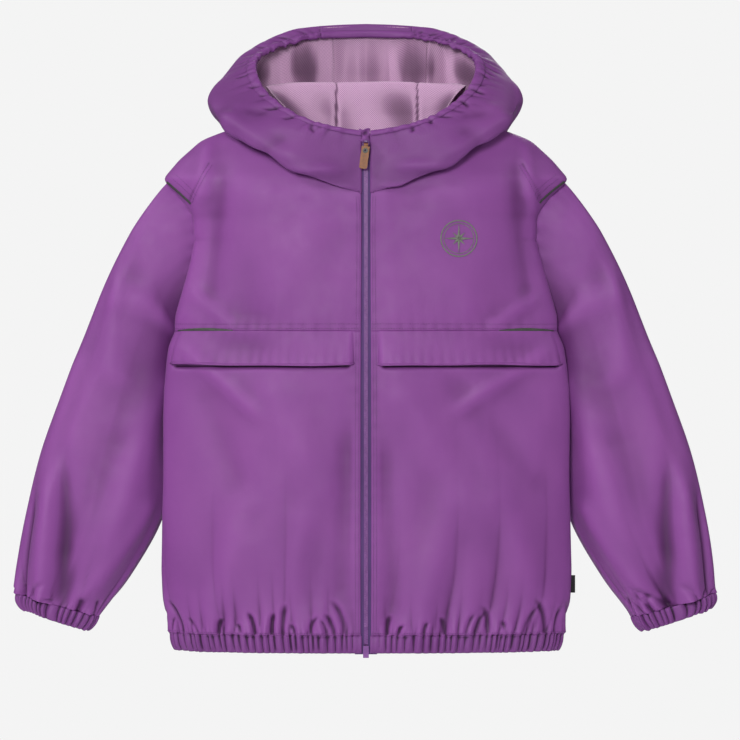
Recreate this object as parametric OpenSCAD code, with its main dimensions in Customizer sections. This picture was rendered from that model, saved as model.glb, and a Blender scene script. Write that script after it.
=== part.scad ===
// Hooded shell jacket, hung by the loop at its back neck.
// +Z is up, the front faces -Y, and the wearer's left side is +X.
// Cloth pieces are shells a little thicker than real cloth; each one is a grid of points on a
// sheet of the jacket, with a second grid behind it.

/* [Body] */
// Thickness of each cloth shell
cloth = 2; // [1.5:0.1:2.5]
// Depth of the body from its middle plane to the front, where the zip runs
front_depth = 52; // [48:1:56]
// Height of the seam under the yoke, below the hanging point
yoke_z = -238; // [-245:1:-230]
// Height of the elastic hem casing
hem_h = 24; // [20:1:28]
// Height of the storm flap that hangs from the yoke seam
flap_h = 40; // [34:1:46]

/* [Zip] */
// Half the gap between the two front edges, which shows the zip
zip_gap = 5; // [4.5:0.1:5.5]
// Distance from one tooth to the next on the same tape
pitch = 3; // [2.6:0.1:3.4]
// Half the width of the meshed teeth
chain_half = 2.4; // [2.2:0.1:2.6]
// Height of the bottom end of the zip
zip_bottom = -625; // [-627:1:-623]
// Height of the top end of the teeth
zip_top = -14; // [-16:0.5:-13]

/* [Pull] */
// Width of the leather pull tab
tab_w = 9.6; // [8:0.1:10]
// Length of the leather pull tab
tab_h = 31; // [26:1:36]
// Sideways lean of the hanging tab, in degrees
tab_lean = 7; // [0:1:8]

/* [Hood] */
// Half the width of the hood at its widest
hood_half = 188; // [182:1:194]
// Half the width of the hood's centre panel, as an angle round the neck
centre_angle = 24; // [20:1:28]

/* [Hidden] */

purple = [0.56, 0.33, 0.58];
dark_purple = [0.35, 0.22, 0.42];
pink_mesh = [0.72, 0.56, 0.70];
grey = [0.36, 0.37, 0.36];
white = [0.9, 0.9, 0.9];

// The middle plane of the body lies this far in front of the hanging point.
torso_y = -38;
// Roundness of the body's and the sleeves' cross sections.
round_x = 0.833;
hem_bottom = -623;
hem_top = hem_bottom + hem_h;
// Where the shoulder seam meets the sleeve.
shoulder = [243, -55];

// Half width of the body at each height.
body_w = [[-623, 229], [-596, 235], [-560, 241.5], [-524, 244.5], [-452, 246], [-380, 244],
          [-344, 242.5], [-308, 239.5], [-272, 234.5], [-236, 228.5], [-200, 221], [-165, 213.5],
          [-130, 206], [-100, 207], [-80, 221], [-66, 234], [-55, 243], [-32, 224], [-8, 197],
          [6, 160], [14, 118], [20, 92], [26, 76]];
// Depth of the front and of the back from the middle plane.
body_df = [[-623, 52], [-74, 52], [-54, 47], [-30, 38], [-8, 26], [4, 18], [12, 12], [20, 6], [26, 4]];
body_db = [[-623, 52], [-100, 52], [-54, 50], [-30, 46], [-18, 43], [-8, 40], [4, 30], [12, 18],
           [20, 6], [26, 4]];

function mix(a, b, t) = a + (b - a) * t;
function clamp(v, low, high) = min(max(v, low), high);
function smooth(t) = let (s = clamp(t, 0, 1)) s * s * (3 - 2 * s);
// A smooth curve through evenly spaced values or points, at t from 0 to 1.
function curve(k, t) =
    let (n = len(k) - 1, s = clamp(t, 0, 1) * n, i = min(floor(s), n - 1), f = s - i,
         a = k[max(i - 1, 0)], b = k[i], c = k[i + 1], d = k[min(i + 2, n)])
    0.5 * ((2 * b) + (c - a) * f + (2 * a - 5 * b + 4 * c - d) * f * f
           + (3 * b - 3 * c + d - a) * f * f * f);

// ---- The body -------------------------------------------------------------------
// A point of the body at a height, inset from its outside. The angle is 90 at the zip, 0 at the
// left side seam, -90 at the back's middle.
function body_point(angle, z, inset) =
    let (w = lookup(z, body_w) - inset,
         d = (sin(angle) > 0 ? lookup(z, body_df) : lookup(z, body_db)) - inset,
         c = cos(angle))
    [w * sign(c) * pow(abs(c), round_x), -d * sin(angle), z];
// The angle at which the body is a given distance from its middle plane.
function angle_at(x, z) = acos(pow(clamp(x / lookup(z, body_w), 0, 1), 1 / round_x));

// The neck seam, by the angle round the neck: 0 at the back, 180 at the zip.
neck_half = 88;
neck_z = [-18, -13, 2, 20, -8, -50, -74];
function ring_x(half, a) = a <= 90 ? half * sin(a) : zip_gap + (half - zip_gap) * sin(a);
function neck_x(a) = ring_x(neck_half, a);
function neck_height(a) = curve(neck_z, a / 180);
function neck_y(a) =
    let (x = neck_x(a), z = neck_height(a),
         side = sqrt(max(0, 1 - pow(clamp(x / lookup(z, body_w), 0, 1), 2 / round_x))))
    a > 90 ? -lookup(z, body_df) * side : lookup(z, body_db) * side;

// Height of the body's top edge at a distance x from the middle: the neck seam, then the shoulder.
front_neck = [for (a = [180 : -10 : 90]) [neck_x(a), neck_height(a)]];
back_neck = [for (a = [0 : 10 : 90]) [neck_x(a), neck_height(a)]];
shoulder_line = [[92, 20], [118, 14], [160, 6], [197, -8], [224, -32], [243, -55]];
function front_top(x) = x < 92 ? lookup(x, front_neck) : lookup(x, shoulder_line);
function back_top(x) = x < 92 ? lookup(x, back_neck) : lookup(x, shoulder_line);

// ---- Shells from grids of points ------------------------------------------------------------
function flat(g) = [for (r = g) for (p = r) p];
function quad(a, b, c, d) = [[a, b, c], [a, c, d]];
// A closed shell between two grids of points. Rows that run to the right as seen from outside
// need going-up grids with the inner one first. wrap closes each row.
module shell(a, b, wrap = false) {
    rows = len(a);
    cols = len(a[0]);
    all = rows * cols;
    last = wrap ? cols - 1 : cols - 2;
    function o(i, j) = i * cols + j % cols;
    function n(i, j) = all + i * cols + j % cols;
    faces = [
        for (i = [0 : rows - 2]) for (j = [0 : last]) each concat(
            quad(o(i, j), o(i, j + 1), o(i + 1, j + 1), o(i + 1, j)),
            quad(n(i, j), n(i + 1, j), n(i + 1, j + 1), n(i, j + 1))),
        for (j = [0 : last]) each concat(
            quad(o(0, j), n(0, j), n(0, j + 1), o(0, j + 1)),
            quad(o(rows - 1, j), o(rows - 1, j + 1), n(rows - 1, j + 1), n(rows - 1, j))),
        if (!wrap) for (i = [0 : rows - 2]) each concat(
            quad(o(i, 0), o(i + 1, 0), n(i + 1, 0), n(i, 0)),
            quad(o(i, cols - 1), n(i, cols - 1), n(i + 1, cols - 1), o(i + 1, cols - 1)))
    ];
    polyhedron(concat(flat(a), flat(b)), faces, convexity = 8);
}

// A left-hand piece, or its mirror image on the right.
module on_side(left) {
    if (left) children();
    else mirror([1, 0, 0]) children();
}
module hung() translate([0, torso_y, 0]) children();

// ---- Body panels ----------------------------------------------------------------------------
// A left front piece from the zip to the side, between two heights given for each u from 0 to 1.
function front_grid(rows, cols, low, high, from_x, reach, inset) =
    [for (i = [0 : rows]) [for (j = [0 : cols])
        let (u = j / cols, z = mix(low(u), high(u), i / rows),
             a = mix(angle_at(from_x, z), reach(z), u))
        body_point(a, z, inset)]];
side_seam = function(z) 0;
yoke_low = function(u) yoke_z;
hem_low = function(u) hem_top;
front_high = function(u) yoke_z - 0.2;
yoke_high = function(u) let (x = mix(zip_gap, shoulder[0], u)) front_top(x);

module chest_panel(left) hung() on_side(left)
    shell(front_grid(14, 16, yoke_low, yoke_high, zip_gap, side_seam, cloth),
          front_grid(14, 16, yoke_low, yoke_high, zip_gap, side_seam, 0));
module front_panel(left) hung() on_side(left)
    shell(front_grid(8, 12, hem_low, front_high, zip_gap, side_seam, cloth),
          front_grid(8, 12, hem_low, front_high, zip_gap, side_seam, 0));

// The back's side edge leaves the armhole open between the underarm and the shoulder.
underarm_z = -243;
armhole_y = 11;
armhole_d = 17;
function armhole_angle(z) =
    let (c = clamp((z + 150) / 93, -1, 1), s = sqrt(1 - c * c))
    (asin((armhole_y + armhole_d * s) / 52) + 6) * smooth(3 * s);
function back_half(rows, cols, inset) =
    [for (i = [0 : rows]) [for (j = [0 : cols])
        let (u = j / cols, z = mix(hem_top, back_top(mix(shoulder[0], 0, u)), i / rows),
             a = mix(-armhole_angle(z) - 0.4, -90, u))
        body_point(a, z, inset)]];
function mirrored(g) = [for (r = g) [for (j = [len(r) - 2 : -1 : 0]) [-r[j][0], r[j][1], r[j][2]]]];
function joined(a, b) = [for (i = [0 : len(a) - 1]) concat(a[i], b[i])];
function back_grid(rows, cols, inset) =
    let (g = back_half(rows, cols, inset)) joined(g, mirrored(g));
module back_panel() hung() shell(back_grid(32, 12, cloth), back_grid(32, 12, 0));

// The lining lies inside the shell, and stops above the hem and below the neck.
lining_gap = 5;
body_lining_gap = 6.5;
lining_low = function(u) hem_top + 4;
lining_high = function(u) let (x = mix(zip_gap, 190, u)) front_top(x) - 13;
lining_side = function(z) 2 + 26 * smooth((z - underarm_z) / 40);
module lining_front(left) hung() on_side(left)
    shell(front_grid(19, 8, lining_low, lining_high, zip_gap + 14, lining_side, body_lining_gap + 1),
          front_grid(19, 8, lining_low, lining_high, zip_gap + 14, lining_side, body_lining_gap));
function lining_half(rows, cols, inset) =
    [for (i = [0 : rows]) [for (j = [0 : cols])
        let (u = j / cols, x = mix(190, 0, u), top = back_top(x) - 15 - 14 * smooth((x - 80) / 60),
             z = mix(hem_top + 4, top, i / rows),
             a = mix(-armhole_angle(z) - 2, -90, u))
        body_point(a, z, inset)]];
module lining_back() hung()
    shell(joined(lining_half(20, 8, body_lining_gap + 1), mirrored(lining_half(20, 8, body_lining_gap + 1))),
          joined(lining_half(20, 8, body_lining_gap), mirrored(lining_half(20, 8, body_lining_gap))));

// A band round the body from one side of the zip to the other, such as the hem.
function band_grid(rows, cols, low, high, edge_x, inset) =
    [for (i = [0 : rows]) [for (j = [0 : cols])
        let (z = mix(low, high, i / rows), a0 = angle_at(edge_x, z),
             a = mix(a0, -180 - a0, j / cols))
        body_point(a, z, inset)]];
module band(low, high, edge_x, inset, thick, cols = 48) hung()
    shell(band_grid(2, cols, low, high, edge_x, inset + thick), band_grid(2, cols, low, high, edge_x, inset));
module hem_casing() band(hem_bottom, hem_top - 0.2, zip_gap, 0, cloth);
module hem_elastic() band(hem_bottom + 2, hem_top - 3, zip_gap + 12, cloth + 0.5, 1.6);

// The storm flap hangs over the front from the yoke seam, and swings on that seam.
flap_gap = 1.2;
flap_low = function(u) yoke_z - flap_h;
flap_high = function(u) yoke_z - 1;
flap_side = function(z) 9;
module storm_flap(left) hung() on_side(left)
    shell(front_grid(3, 14, flap_low, flap_high, zip_gap + 7, flap_side, -flap_gap),
          front_grid(3, 14, flap_low, flap_high, zip_gap + 7, flap_side, -flap_gap - 1.4));

// The pocket bag lies between the shell and the lining, behind the opening in the side seam.
pocket_low = function(u) -576;
pocket_high = function(u) -412;
pocket_side = function(z) 8;
module pocket_bag(left) hung() on_side(left)
    shell(front_grid(3, 6, pocket_low, pocket_high, 110, pocket_side, cloth + 2),
          front_grid(3, 6, pocket_low, pocket_high, 110, pocket_side, cloth + 0.6));

// ---- Sleeves and cuffs ----------------------------------------------------------------------
// The sleeve's outer edge and underarm edge as seen from the front, from armhole to cuff.
sleeve_outer = [[247, -60], [280, -116], [309, -176], [337, -246], [365, -316], [391, -386],
                [409, -460], [418, -518], [419, -552]];
sleeve_inner = [[214, -238], [219, -262], [224, -288], [229, -320], [234, -362], [239, -412],
                [248, -464], [283, -528], [321, -580]];
// Its middle plane and half depth, from armhole to cuff.
sleeve_y = [16, 22, 25, 26, 26, 24, 20, 15, 12];
sleeve_d = [22, 28, 34, 38, 40, 40, 37, 30, 24];
// The inner edge lies further back than the outer edge, behind the body's side.
sleeve_tilt = 18;
function sleeve_ring(t, angle, inset) =
    let (o = curve(sleeve_outer, t), n = curve(sleeve_inner, t), m = (o + n) / 2,
         half = (o - n) / 2, k = 1 - inset / norm(half), c = cos(angle),
         s = k * sign(c) * pow(abs(c), round_x))
    [m[0] + half[0] * s,
     curve(sleeve_y, t) - sleeve_tilt * s * (1 - smooth(t * 1.2 - 0.2)) - (curve(sleeve_d, t) - inset) * sin(angle),
     m[1] + half[1] * s];
// The armhole end follows the body's side at the front and reaches onto the back.
armhole_half = 90;
function armhole_ring(angle, inset) =
    let (z = -150 + (armhole_half - inset) * cos(angle))
    [lookup(z, body_w) + 3 - inset * 0.3 - 26 * max(0, -sin(angle)),
     armhole_y - (armhole_d - inset) * sin(angle), z];
function sleeve_grid(rows, cols, inset) =
    [for (i = [0 : rows]) [for (j = [0 : cols - 1])
        let (t = i / rows, a = -360 * j / cols, k = smooth(t / 0.14))
        mix(armhole_ring(a, inset), sleeve_ring(t, a, inset), k)]];
module sleeve(left) hung() on_side(left)
    shell(sleeve_grid(22, 28, 0), sleeve_grid(22, 28, cloth), wrap = true);

// The cuff goes on from the sleeve's end.
cuff_outer = [[419, -552.4], [421, -562], [417, -572]];
cuff_inner = [[321, -580.4], [326, -591], [332, -600]];
cuff_y = 12;
function cuff_grid(rows, cols, inset, depth, from, to) =
    [for (i = [0 : rows]) [for (j = [0 : cols - 1])
        let (t = mix(from, to, i / rows), a = -360 * j / cols, o = curve(cuff_outer, t),
             n = curve(cuff_inner, t), m = (o + n) / 2, half = (o - n) / 2,
             k = 1 - inset / norm(half), c = cos(a), s = k * sign(c) * pow(abs(c), round_x))
        [m[0] + half[0] * s, cuff_y - (depth - inset) * sin(a), m[1] + half[1] * s]]];
cuff_depth = 24;
module cuff(left) hung() on_side(left)
    shell(cuff_grid(3, 28, 0, cuff_depth, 0, 1), cuff_grid(3, 28, cloth, cuff_depth, 0, 1), wrap = true);
module cuff_elastic(left) hung() on_side(left)
    shell(cuff_grid(1, 28, cloth + 0.5, cuff_depth, 0.15, 0.85),
          cuff_grid(1, 28, cloth + 1.9, cuff_depth, 0.15, 0.85), wrap = true);

// ---- Hood -----------------------------------------------------------------------------------
// The hood lies back behind the neck like a bowl. Each ring runs from the back's middle to the
// zip in steps of 30 degrees: neck seam, low fold, widest ring, upper ring and face edge.
ring_half = [neck_half, 165, hood_half, 174, 134];
ring_y = [[0, 0, 0, 0, 0, 0, 0],
          [80, 74, 52, 8, -40, -58, -52],
          [120, 106, 72, 12, -40, -64, -52],
          [82, 78, 58, 20, -24, -56, -52],
          [74, 68, 50, 18, -20, -48, -52]];
ring_z = [neck_z,
          [-66, -58, -22, 14, -12, -47, -71],
          [0, 8, 26, 38, 12, -26, -50],
          [131, 126, 93, 66, 32, 0, -24],
          [126, 122, 106, 83, 44, 12, -2]];
function hood_half_at(v) = curve(ring_half, v);
function hood_point(a, v) =
    let (s = clamp(abs(a) / 180, 0, 1), x = ring_x(hood_half_at(v), abs(a)),
         y = curve([for (k = [0 : 4]) k == 0 ? neck_y(min(abs(a), 180)) : curve(ring_y[k], s)], v),
         z = curve([for (k = [0 : 4]) curve(ring_z[k], s)], v))
    [x * sign(a), y, z];
// A point of the cloth moved inwards along its own normal.
function moved_in(sheet, a, v, inset) =
    let (p = sheet(a, v), side = sheet(a + 1, v) - sheet(a - 1, v),
         up = sheet(a, min(v + 0.01, 1)) - sheet(a, max(v - 0.01, 0)), n = cross(side, up))
    p + n / norm(n) * inset;
hood_sheet = function(a, v) hood_point(a, v);

// The centre panel has straight sides, so it can swing between the side panels.
centre_half = 55;
seam_gap = 1.5;
function centre_grid(rows, cols, v0, v1, inset) =
    [for (i = [0 : rows]) [for (j = [0 : cols])
        let (v = mix(v0, v1, i / rows), x = mix(-centre_half, centre_half, j / cols))
        moved_in(hood_sheet, asin(x / hood_half_at(v)), v, inset)]];
function side_grid(rows, cols, v0, v1, last, inset) =
    [for (i = [0 : rows]) [for (j = [0 : cols])
        let (v = mix(v0, v1, i / rows), a0 = asin((centre_half + seam_gap) / hood_half_at(v)))
        moved_in(hood_sheet, mix(a0, last, j / cols), v, inset)]];
module centre_patch(v0, v1, inset, thick, rows) hung()
    shell(centre_grid(rows, 8, v0, v1, inset), centre_grid(rows, 8, v0, v1, inset + thick));
module side_patch(left, v0, v1, last, inset, thick, rows) hung() on_side(left)
    shell(side_grid(rows, 20, v0, v1, last, inset), side_grid(rows, 20, v0, v1, last, inset + thick));

// The part of the centre panel that is sewn to the neck stays still; the rest swings.
swing_from = 0.08;
module hood_neck_strip() centre_patch(0.006, swing_from - 0.008, 0, cloth, 2);
module hood_centre_panel() centre_patch(swing_from, 1, 0, cloth, 16);
module hood_side(left) side_patch(left, 0.045, 1, 180, 0, cloth, 16);
module hood_lining_centre() centre_patch(0.16, 0.68, lining_gap, 1, 12);
module hood_lining_side(left) side_patch(left, 0.16, 0.68, 172, lining_gap, 1, 12);
module hood_binding_top() centre_patch(0.955, 1, -2, 1.4, 2);
module hood_binding(left) side_patch(left, 0.955, 1, 180, -2, 1.4, 2);

// The nape of the hood stands up from the neck seam and folds over backwards.
fold_z = 64;
fold_reach = 74;
nape_sheet = function(a, v)
    let (b = [neck_x(abs(a)) * sign(a), neck_y(abs(a)) + 1, neck_height(abs(a)) + 3],
         r = [118 * sin(a) / sin(fold_reach), 46 - 20 * (1 - cos(a)), fold_z - 6 * pow(a / fold_reach, 2)])
    curve([b, mix(b, r, 0.5), r, r + [0, 14, -9], r + [0, 21, -40]], v);
function nape_grid(rows, cols, inset) =
    [for (i = [0 : rows]) [for (j = [0 : cols])
        moved_in(nape_sheet, mix(-fold_reach, fold_reach, j / cols), i / rows, inset)]];
module hood_neck_fold() hung() shell(nape_grid(12, 16, 0), nape_grid(12, 16, cloth));

// A tape covers the neck seam inside the back, and the hanging loop is sewn to it.
tape_reach = 48;
function tape_grid(rows, cols, inset) =
    [for (i = [0 : rows]) [for (j = [0 : cols])
        let (a = mix(tape_reach, -tape_reach, j / cols), x = neck_x(abs(a)) * sign(a),
             z = mix(neck_height(abs(a)) - 16, neck_height(abs(a)) - 1, i / rows),
             w = lookup(z, body_w))
        [x, (lookup(z, body_db) - inset) * sqrt(1 - pow(abs(x) / w, 2 / round_x)), z]]];
module neck_tape() hung() shell(tape_grid(2, 16, cloth + 1.4), tape_grid(2, 16, cloth + 0.4));

loop_r = 9;
loop_wire = 2;
module hanger_loop() translate([0, 1, -loop_r]) rotate([90, 0, 0]) linear_extrude(4) {
    difference() {
        circle(loop_r + loop_wire, $fn = 48);
        circle(loop_r, $fn = 48);
        translate([-20, -40]) square([40, 40]);
    }
    for (s = [-1, 1]) translate([s * (loop_r + loop_wire / 2) - loop_wire / 2, -20])
        square([loop_wire, 20]);
}

// ---- Zip ------------------------------------------------------------------------------------
chain_front = -51.2;
chain_back = -49.6;
tape_front = -49.4;
tape_bottom = zip_bottom + 4;
module zip_tape(left) hung() on_side(left)
    translate([chain_half - 0.8, tape_front, tape_bottom]) cube([11.5, 1, -8 - tape_bottom]);
// One side of the chain is a comb: a spine with a tooth at each step.
tooth_h = 1.2;
module comb(shift) {
    low = zip_bottom + 16;
    count = floor((zip_top - low - shift - tooth_h) / pitch);
    tip = -0.9;
    root = chain_half - 0.7;
    points = concat(
        [[chain_half, zip_top], [chain_half, low], [root, low]],
        [for (i = [0 : count]) let (z = low + shift + i * pitch) each
            [[root, z], [tip, z], [tip, z + tooth_h], [root, z + tooth_h]]],
        [[root, zip_top]]);
    translate([0, chain_back, 0]) rotate([90, 0, 0])
        linear_extrude(chain_back - chain_front) polygon(points);
}
module zip_teeth(left) hung() on_side(left) comb(left ? 0.3 : 0.3 + pitch / 2);
module zip_top_stops() hung() for (s = [-1, 1])
    translate([s * 1.5 - 0.9, chain_front, zip_top + 1]) cube([1.8, 1.6, 3]);
module zip_bottom_box() hung() translate([-3.4, -52.4, zip_bottom]) cube([6.8, 2.8, 14]);

// A small fold of cloth covers the top end of the zip, above the slider.
garage_low = -9.6;
garage_high = -0.6;
function garage_grid(inset) =
    [for (i = [0 : 4]) [for (j = [0 : 8])
        [mix(-4.4, 4.4, j / 8), inset - 50.6 - 1.6 * sin(22.5 * j), mix(garage_low, garage_high, i / 4)]]];
module zip_garage() hung() shell(garage_grid(1.1), garage_grid(0));

// The slider rides in front of the tape, with a flange down each side of the chain.
slider_low = -25;
slider_h = 11;
pin_z = -13.5;
pin_y = -56.6;
plate_front = -53.6;
plate_back = -51.7;
module slider_shape() polygon([[-3.2, 0], [3.2, 0], [4.3, 4], [4.3, slider_h - 1.5],
                               [2.8, slider_h], [-2.8, slider_h], [-4.3, slider_h - 1.5], [-4.3, 4]]);
module zip_slider() hung() {
    translate([0, plate_back, slider_low]) rotate([90, 0, 0])
        linear_extrude(plate_back - plate_front) slider_shape();
    translate([0, tape_front - 0.4, slider_low]) rotate([90, 0, 0])
        linear_extrude(plate_back - plate_front + 0.4) difference() {
            slider_shape();
            translate([-chain_half - 0.4, -1]) square([2 * chain_half + 0.8, slider_h + 2]);
        }
    difference() {
        union() {
            translate([-1.9, pin_y, pin_z - 3]) cube([3.8, plate_front - pin_y + 0.2, 5]);
            translate([-1.9, pin_y, pin_z]) rotate([0, 90, 0]) cylinder(r = 2, h = 3.8, $fn = 32);
        }
        translate([-3, pin_y, pin_z]) rotate([0, 90, 0]) cylinder(r = 1.15, h = 6, $fn = 32);
    }
}
bar_t = 1.3;
bar_y = -59.4;
bar_z = -17.6;
// The link is a small flat frame: its top bar turns in the slider, its bottom bar holds the tab.
module pull_link() hung() {
    drop = norm([bar_y - pin_y, bar_z - pin_z]);
    translate([0, pin_y, pin_z]) rotate([90 - atan2(pin_y - bar_y, pin_z - bar_z), 0, 0])
        translate([0, 0, -bar_t / 2]) linear_extrude(bar_t) difference() {
            translate([-4.1, -drop - bar_t / 2]) square([8.2, drop + bar_t]);
            translate([-2.8, -drop + bar_t / 2]) square([5.6, drop - bar_t]);
        }
}
// The leather tab is looped over the lower bar and closed by a round eyelet.
tab_t = 2.6;
eye_z = -7;
module lean() translate([0, bar_y, bar_z]) rotate([0, tab_lean, 0]) children();
module tab_outline() {
    r = 2.4;
    translate([-tab_w / 2, -tab_h + 2.4 + r]) square([tab_w, tab_h - 2.4 - r - 2]);
    for (s = [-1, 1]) translate([s * (tab_w / 2 - r), -tab_h + 2.4 + r]) circle(r, $fn = 24);
    translate([-tab_w / 2 + r, -tab_h + 2.4]) square([tab_w - 2 * r, r + 1]);
    translate([-2.4, -3]) square([4.8, 3.4]);
}
module pull_tab() hung() lean() difference() {
    union() {
        translate([0, tab_t / 2, 0]) rotate([90, 0, 0]) linear_extrude(tab_t) tab_outline();
        translate([-2.4, 0, 0]) rotate([0, 90, 0]) cylinder(r = 1.9, h = 4.8, $fn = 28);
    }
    rotate([0, 90 - tab_lean, 0]) cylinder(r = 1.15, h = 12, center = true, $fn = 28);
    translate([0, 3, eye_z]) rotate([90, 0, 0]) cylinder(r = 2.2, h = 6, $fn = 32);
}
module pull_eyelet() hung() lean() translate([0, 0, eye_z]) rotate([90, 0, 0]) difference() {
    union() {
        cylinder(r = 2, h = tab_t + 1.2, center = true, $fn = 32);
        for (s = [-1, 1]) translate([0, 0, s * (tab_t / 2 + 0.4)]) cylinder(r = 3, h = 0.6, center = true, $fn = 32);
    }
    cylinder(r = 1.2, h = 8, center = true, $fn = 32);
}

// ---- Trim -----------------------------------------------------------------------------------
// Reflective piping lies along the outer part of the yoke seam and narrows to both ends.
piping_low = function(u) yoke_z + 0.4;
piping_high = function(u) yoke_z + 1.6 + 1.8 * sin(180 * u);
piping_side = function(z) 6;
module piping_yoke(left) hung() on_side(left)
    shell(front_grid(1, 8, piping_low, piping_high, 158, piping_side, -0.4),
          front_grid(1, 8, piping_low, piping_high, 158, piping_side, -2));
// More of it runs down the front of the armhole seam from the shoulder's end.
function shoulder_piping(inset) =
    [for (i = [0, 1]) [for (j = [0 : 6])
        let (u = j / 6, x = mix(208, 236, u) - i, z = mix(-86, -60, u) + 3.4 * i)
        body_point(angle_at(x, z), z, inset)]];
module piping_shoulder(left) hung() on_side(left)
    shell(shoulder_piping(-0.8), shoulder_piping(-2.2));

emblem_r = 22;
emblem_at = [110, -47.6, -128];
module chest_emblem() hung() translate(emblem_at) rotate([90, 0, 8.4]) linear_extrude(0.9) {
    difference() {
        circle(emblem_r, $fn = 64);
        circle(emblem_r - 1.5, $fn = 64);
    }
    for (k = [0 : 3]) rotate(45 * k) {
        long = k % 2 == 0 ? emblem_r - 1 : 12;
        polygon([[-long, 0], [0, -1.9], [long, 0], [0, 1.9]]);
    }
}
module side_label() hung() translate([244.3, -3, -551]) cube([6.5, 1.6, 21]);

// ---- Shown pieces -----------------------------------------------------------------------------
color(purple) back_panel();
color(purple) chest_panel(true);  // chest_panel_left
color(purple) chest_panel(false);  // chest_panel_right
color(purple) front_panel(true);  // front_panel_left
color(purple) front_panel(false);  // front_panel_right
color(purple) hem_casing();
color(white) hem_elastic();
color(pink_mesh) lining_back();
color(pink_mesh) lining_front(true);  // lining_left
color(pink_mesh) lining_front(false);  // lining_right
color(purple) storm_flap(true);  // storm_flap_left
color(pink_mesh) pocket_bag(true);  // pocket_bag_left
color(purple) sleeve(true);  // sleeve_left
color(purple) cuff(true);  // cuff_left
color(white) cuff_elastic(true);  // cuff_elastic_left
color(purple) hood_side(true);  // hood_side_left
color(pink_mesh) hood_lining_side(true);  // hood_lining_left
color(dark_purple) hood_binding(true);  // hood_binding_left
color(dark_purple) zip_tape(true);  // zip_tape_left
color([0.66, 0.55, 0.72]) zip_teeth(true);  // zip_teeth_left
color(grey) piping_yoke(true);  // piping_yoke_left
color(grey) piping_shoulder(true);  // piping_shoulder_left
color(purple) storm_flap(false);  // storm_flap_right
color(pink_mesh) pocket_bag(false);  // pocket_bag_right
color(purple) sleeve(false);  // sleeve_right
color(purple) cuff(false);  // cuff_right
color(white) cuff_elastic(false);  // cuff_elastic_right
color(purple) hood_side(false);  // hood_side_right
color(pink_mesh) hood_lining_side(false);  // hood_lining_right
color(dark_purple) hood_binding(false);  // hood_binding_right
color(dark_purple) zip_tape(false);  // zip_tape_right
color([0.66, 0.55, 0.72]) zip_teeth(false);  // zip_teeth_right
color(grey) piping_yoke(false);  // piping_yoke_right
color(grey) piping_shoulder(false);  // piping_shoulder_right
color(purple) hood_neck_strip();
color(purple) hood_centre_panel();
color(pink_mesh) hood_lining_centre();
color(pink_mesh) hood_neck_fold();
color(dark_purple) hood_binding_top();
color(dark_purple) neck_tape();
color(dark_purple) hanger_loop();
color([0.7, 0.7, 0.72]) zip_top_stops();
color([0.66, 0.55, 0.72]) zip_bottom_box();
color(purple) zip_garage();
color([0.7, 0.7, 0.72]) zip_slider();
color([0.7, 0.7, 0.72]) pull_link();
color([0.7, 0.7, 0.72]) pull_eyelet();
color([0.62, 0.38, 0.2]) pull_tab();
color(grey) chest_emblem();
color([0.1, 0.1, 0.1]) side_label();
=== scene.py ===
"""Looks of the hooded shell jacket: cloth with folds, gathers, seams and stitching over the frame."""

import bpy
import math
import numpy as np
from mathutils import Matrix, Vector


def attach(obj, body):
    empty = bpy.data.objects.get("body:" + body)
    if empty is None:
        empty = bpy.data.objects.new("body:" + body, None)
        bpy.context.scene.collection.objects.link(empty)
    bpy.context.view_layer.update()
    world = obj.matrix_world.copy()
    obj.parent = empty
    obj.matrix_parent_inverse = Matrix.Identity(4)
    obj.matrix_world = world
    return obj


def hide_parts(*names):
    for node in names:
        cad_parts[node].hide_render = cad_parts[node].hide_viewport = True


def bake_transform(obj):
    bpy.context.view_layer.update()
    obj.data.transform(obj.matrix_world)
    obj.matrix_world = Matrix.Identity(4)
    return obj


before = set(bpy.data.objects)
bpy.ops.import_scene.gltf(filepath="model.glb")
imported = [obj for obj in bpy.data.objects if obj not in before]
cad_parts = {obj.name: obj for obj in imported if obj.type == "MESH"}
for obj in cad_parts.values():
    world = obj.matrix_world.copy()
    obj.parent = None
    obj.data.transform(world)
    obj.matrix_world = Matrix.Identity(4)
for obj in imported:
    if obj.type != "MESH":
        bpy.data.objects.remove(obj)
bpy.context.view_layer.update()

MM = 0.001
BODY_Y = -38.0  # the body's middle plane, in front of the hanging point
ROUND = 0.833  # roundness of body and sleeve sections
STEP = 2.6  # size of a cloth mesh cell
CLOTH = 0.0011  # thickness of shown cloth, in metres
THIN = 0.0006  # thickness of the mesh and of inner walls, in metres
SIDES = (("left", 1), ("right", -1))

# ---- Curves and tables -----------------------------------------------------------------------


def smooth(t):
    t = np.clip(t, 0.0, 1.0)
    return t * t * (3.0 - 2.0 * t)


def mix(a, b, t):
    return a + (b - a) * t


def between(a, b, c, d, f):
    """The smooth curve through four knots, at a fraction f of the way from b to c."""
    square, cube = 2 * a - 5 * b + 4 * c - d, 3 * b - 3 * c + d - a
    return 0.5 * (2 * b + (c - a) * f + square * f**2 + cube * f**3)


def curve(knots, t):
    """A smooth curve through evenly spaced knots, at t from 0 to 1."""
    knots = np.asarray(knots, float)
    last = len(knots) - 1
    s = np.clip(np.asarray(t, float), 0.0, 1.0) * last
    i = np.minimum(np.floor(s).astype(int), last - 1)
    f = s - i
    if knots.ndim == 2:
        f = f[..., None]
    a, b = knots[np.maximum(i - 1, 0)], knots[i]
    c, d = knots[i + 1], knots[np.minimum(i + 2, last)]
    return between(a, b, c, d, f)


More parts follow.
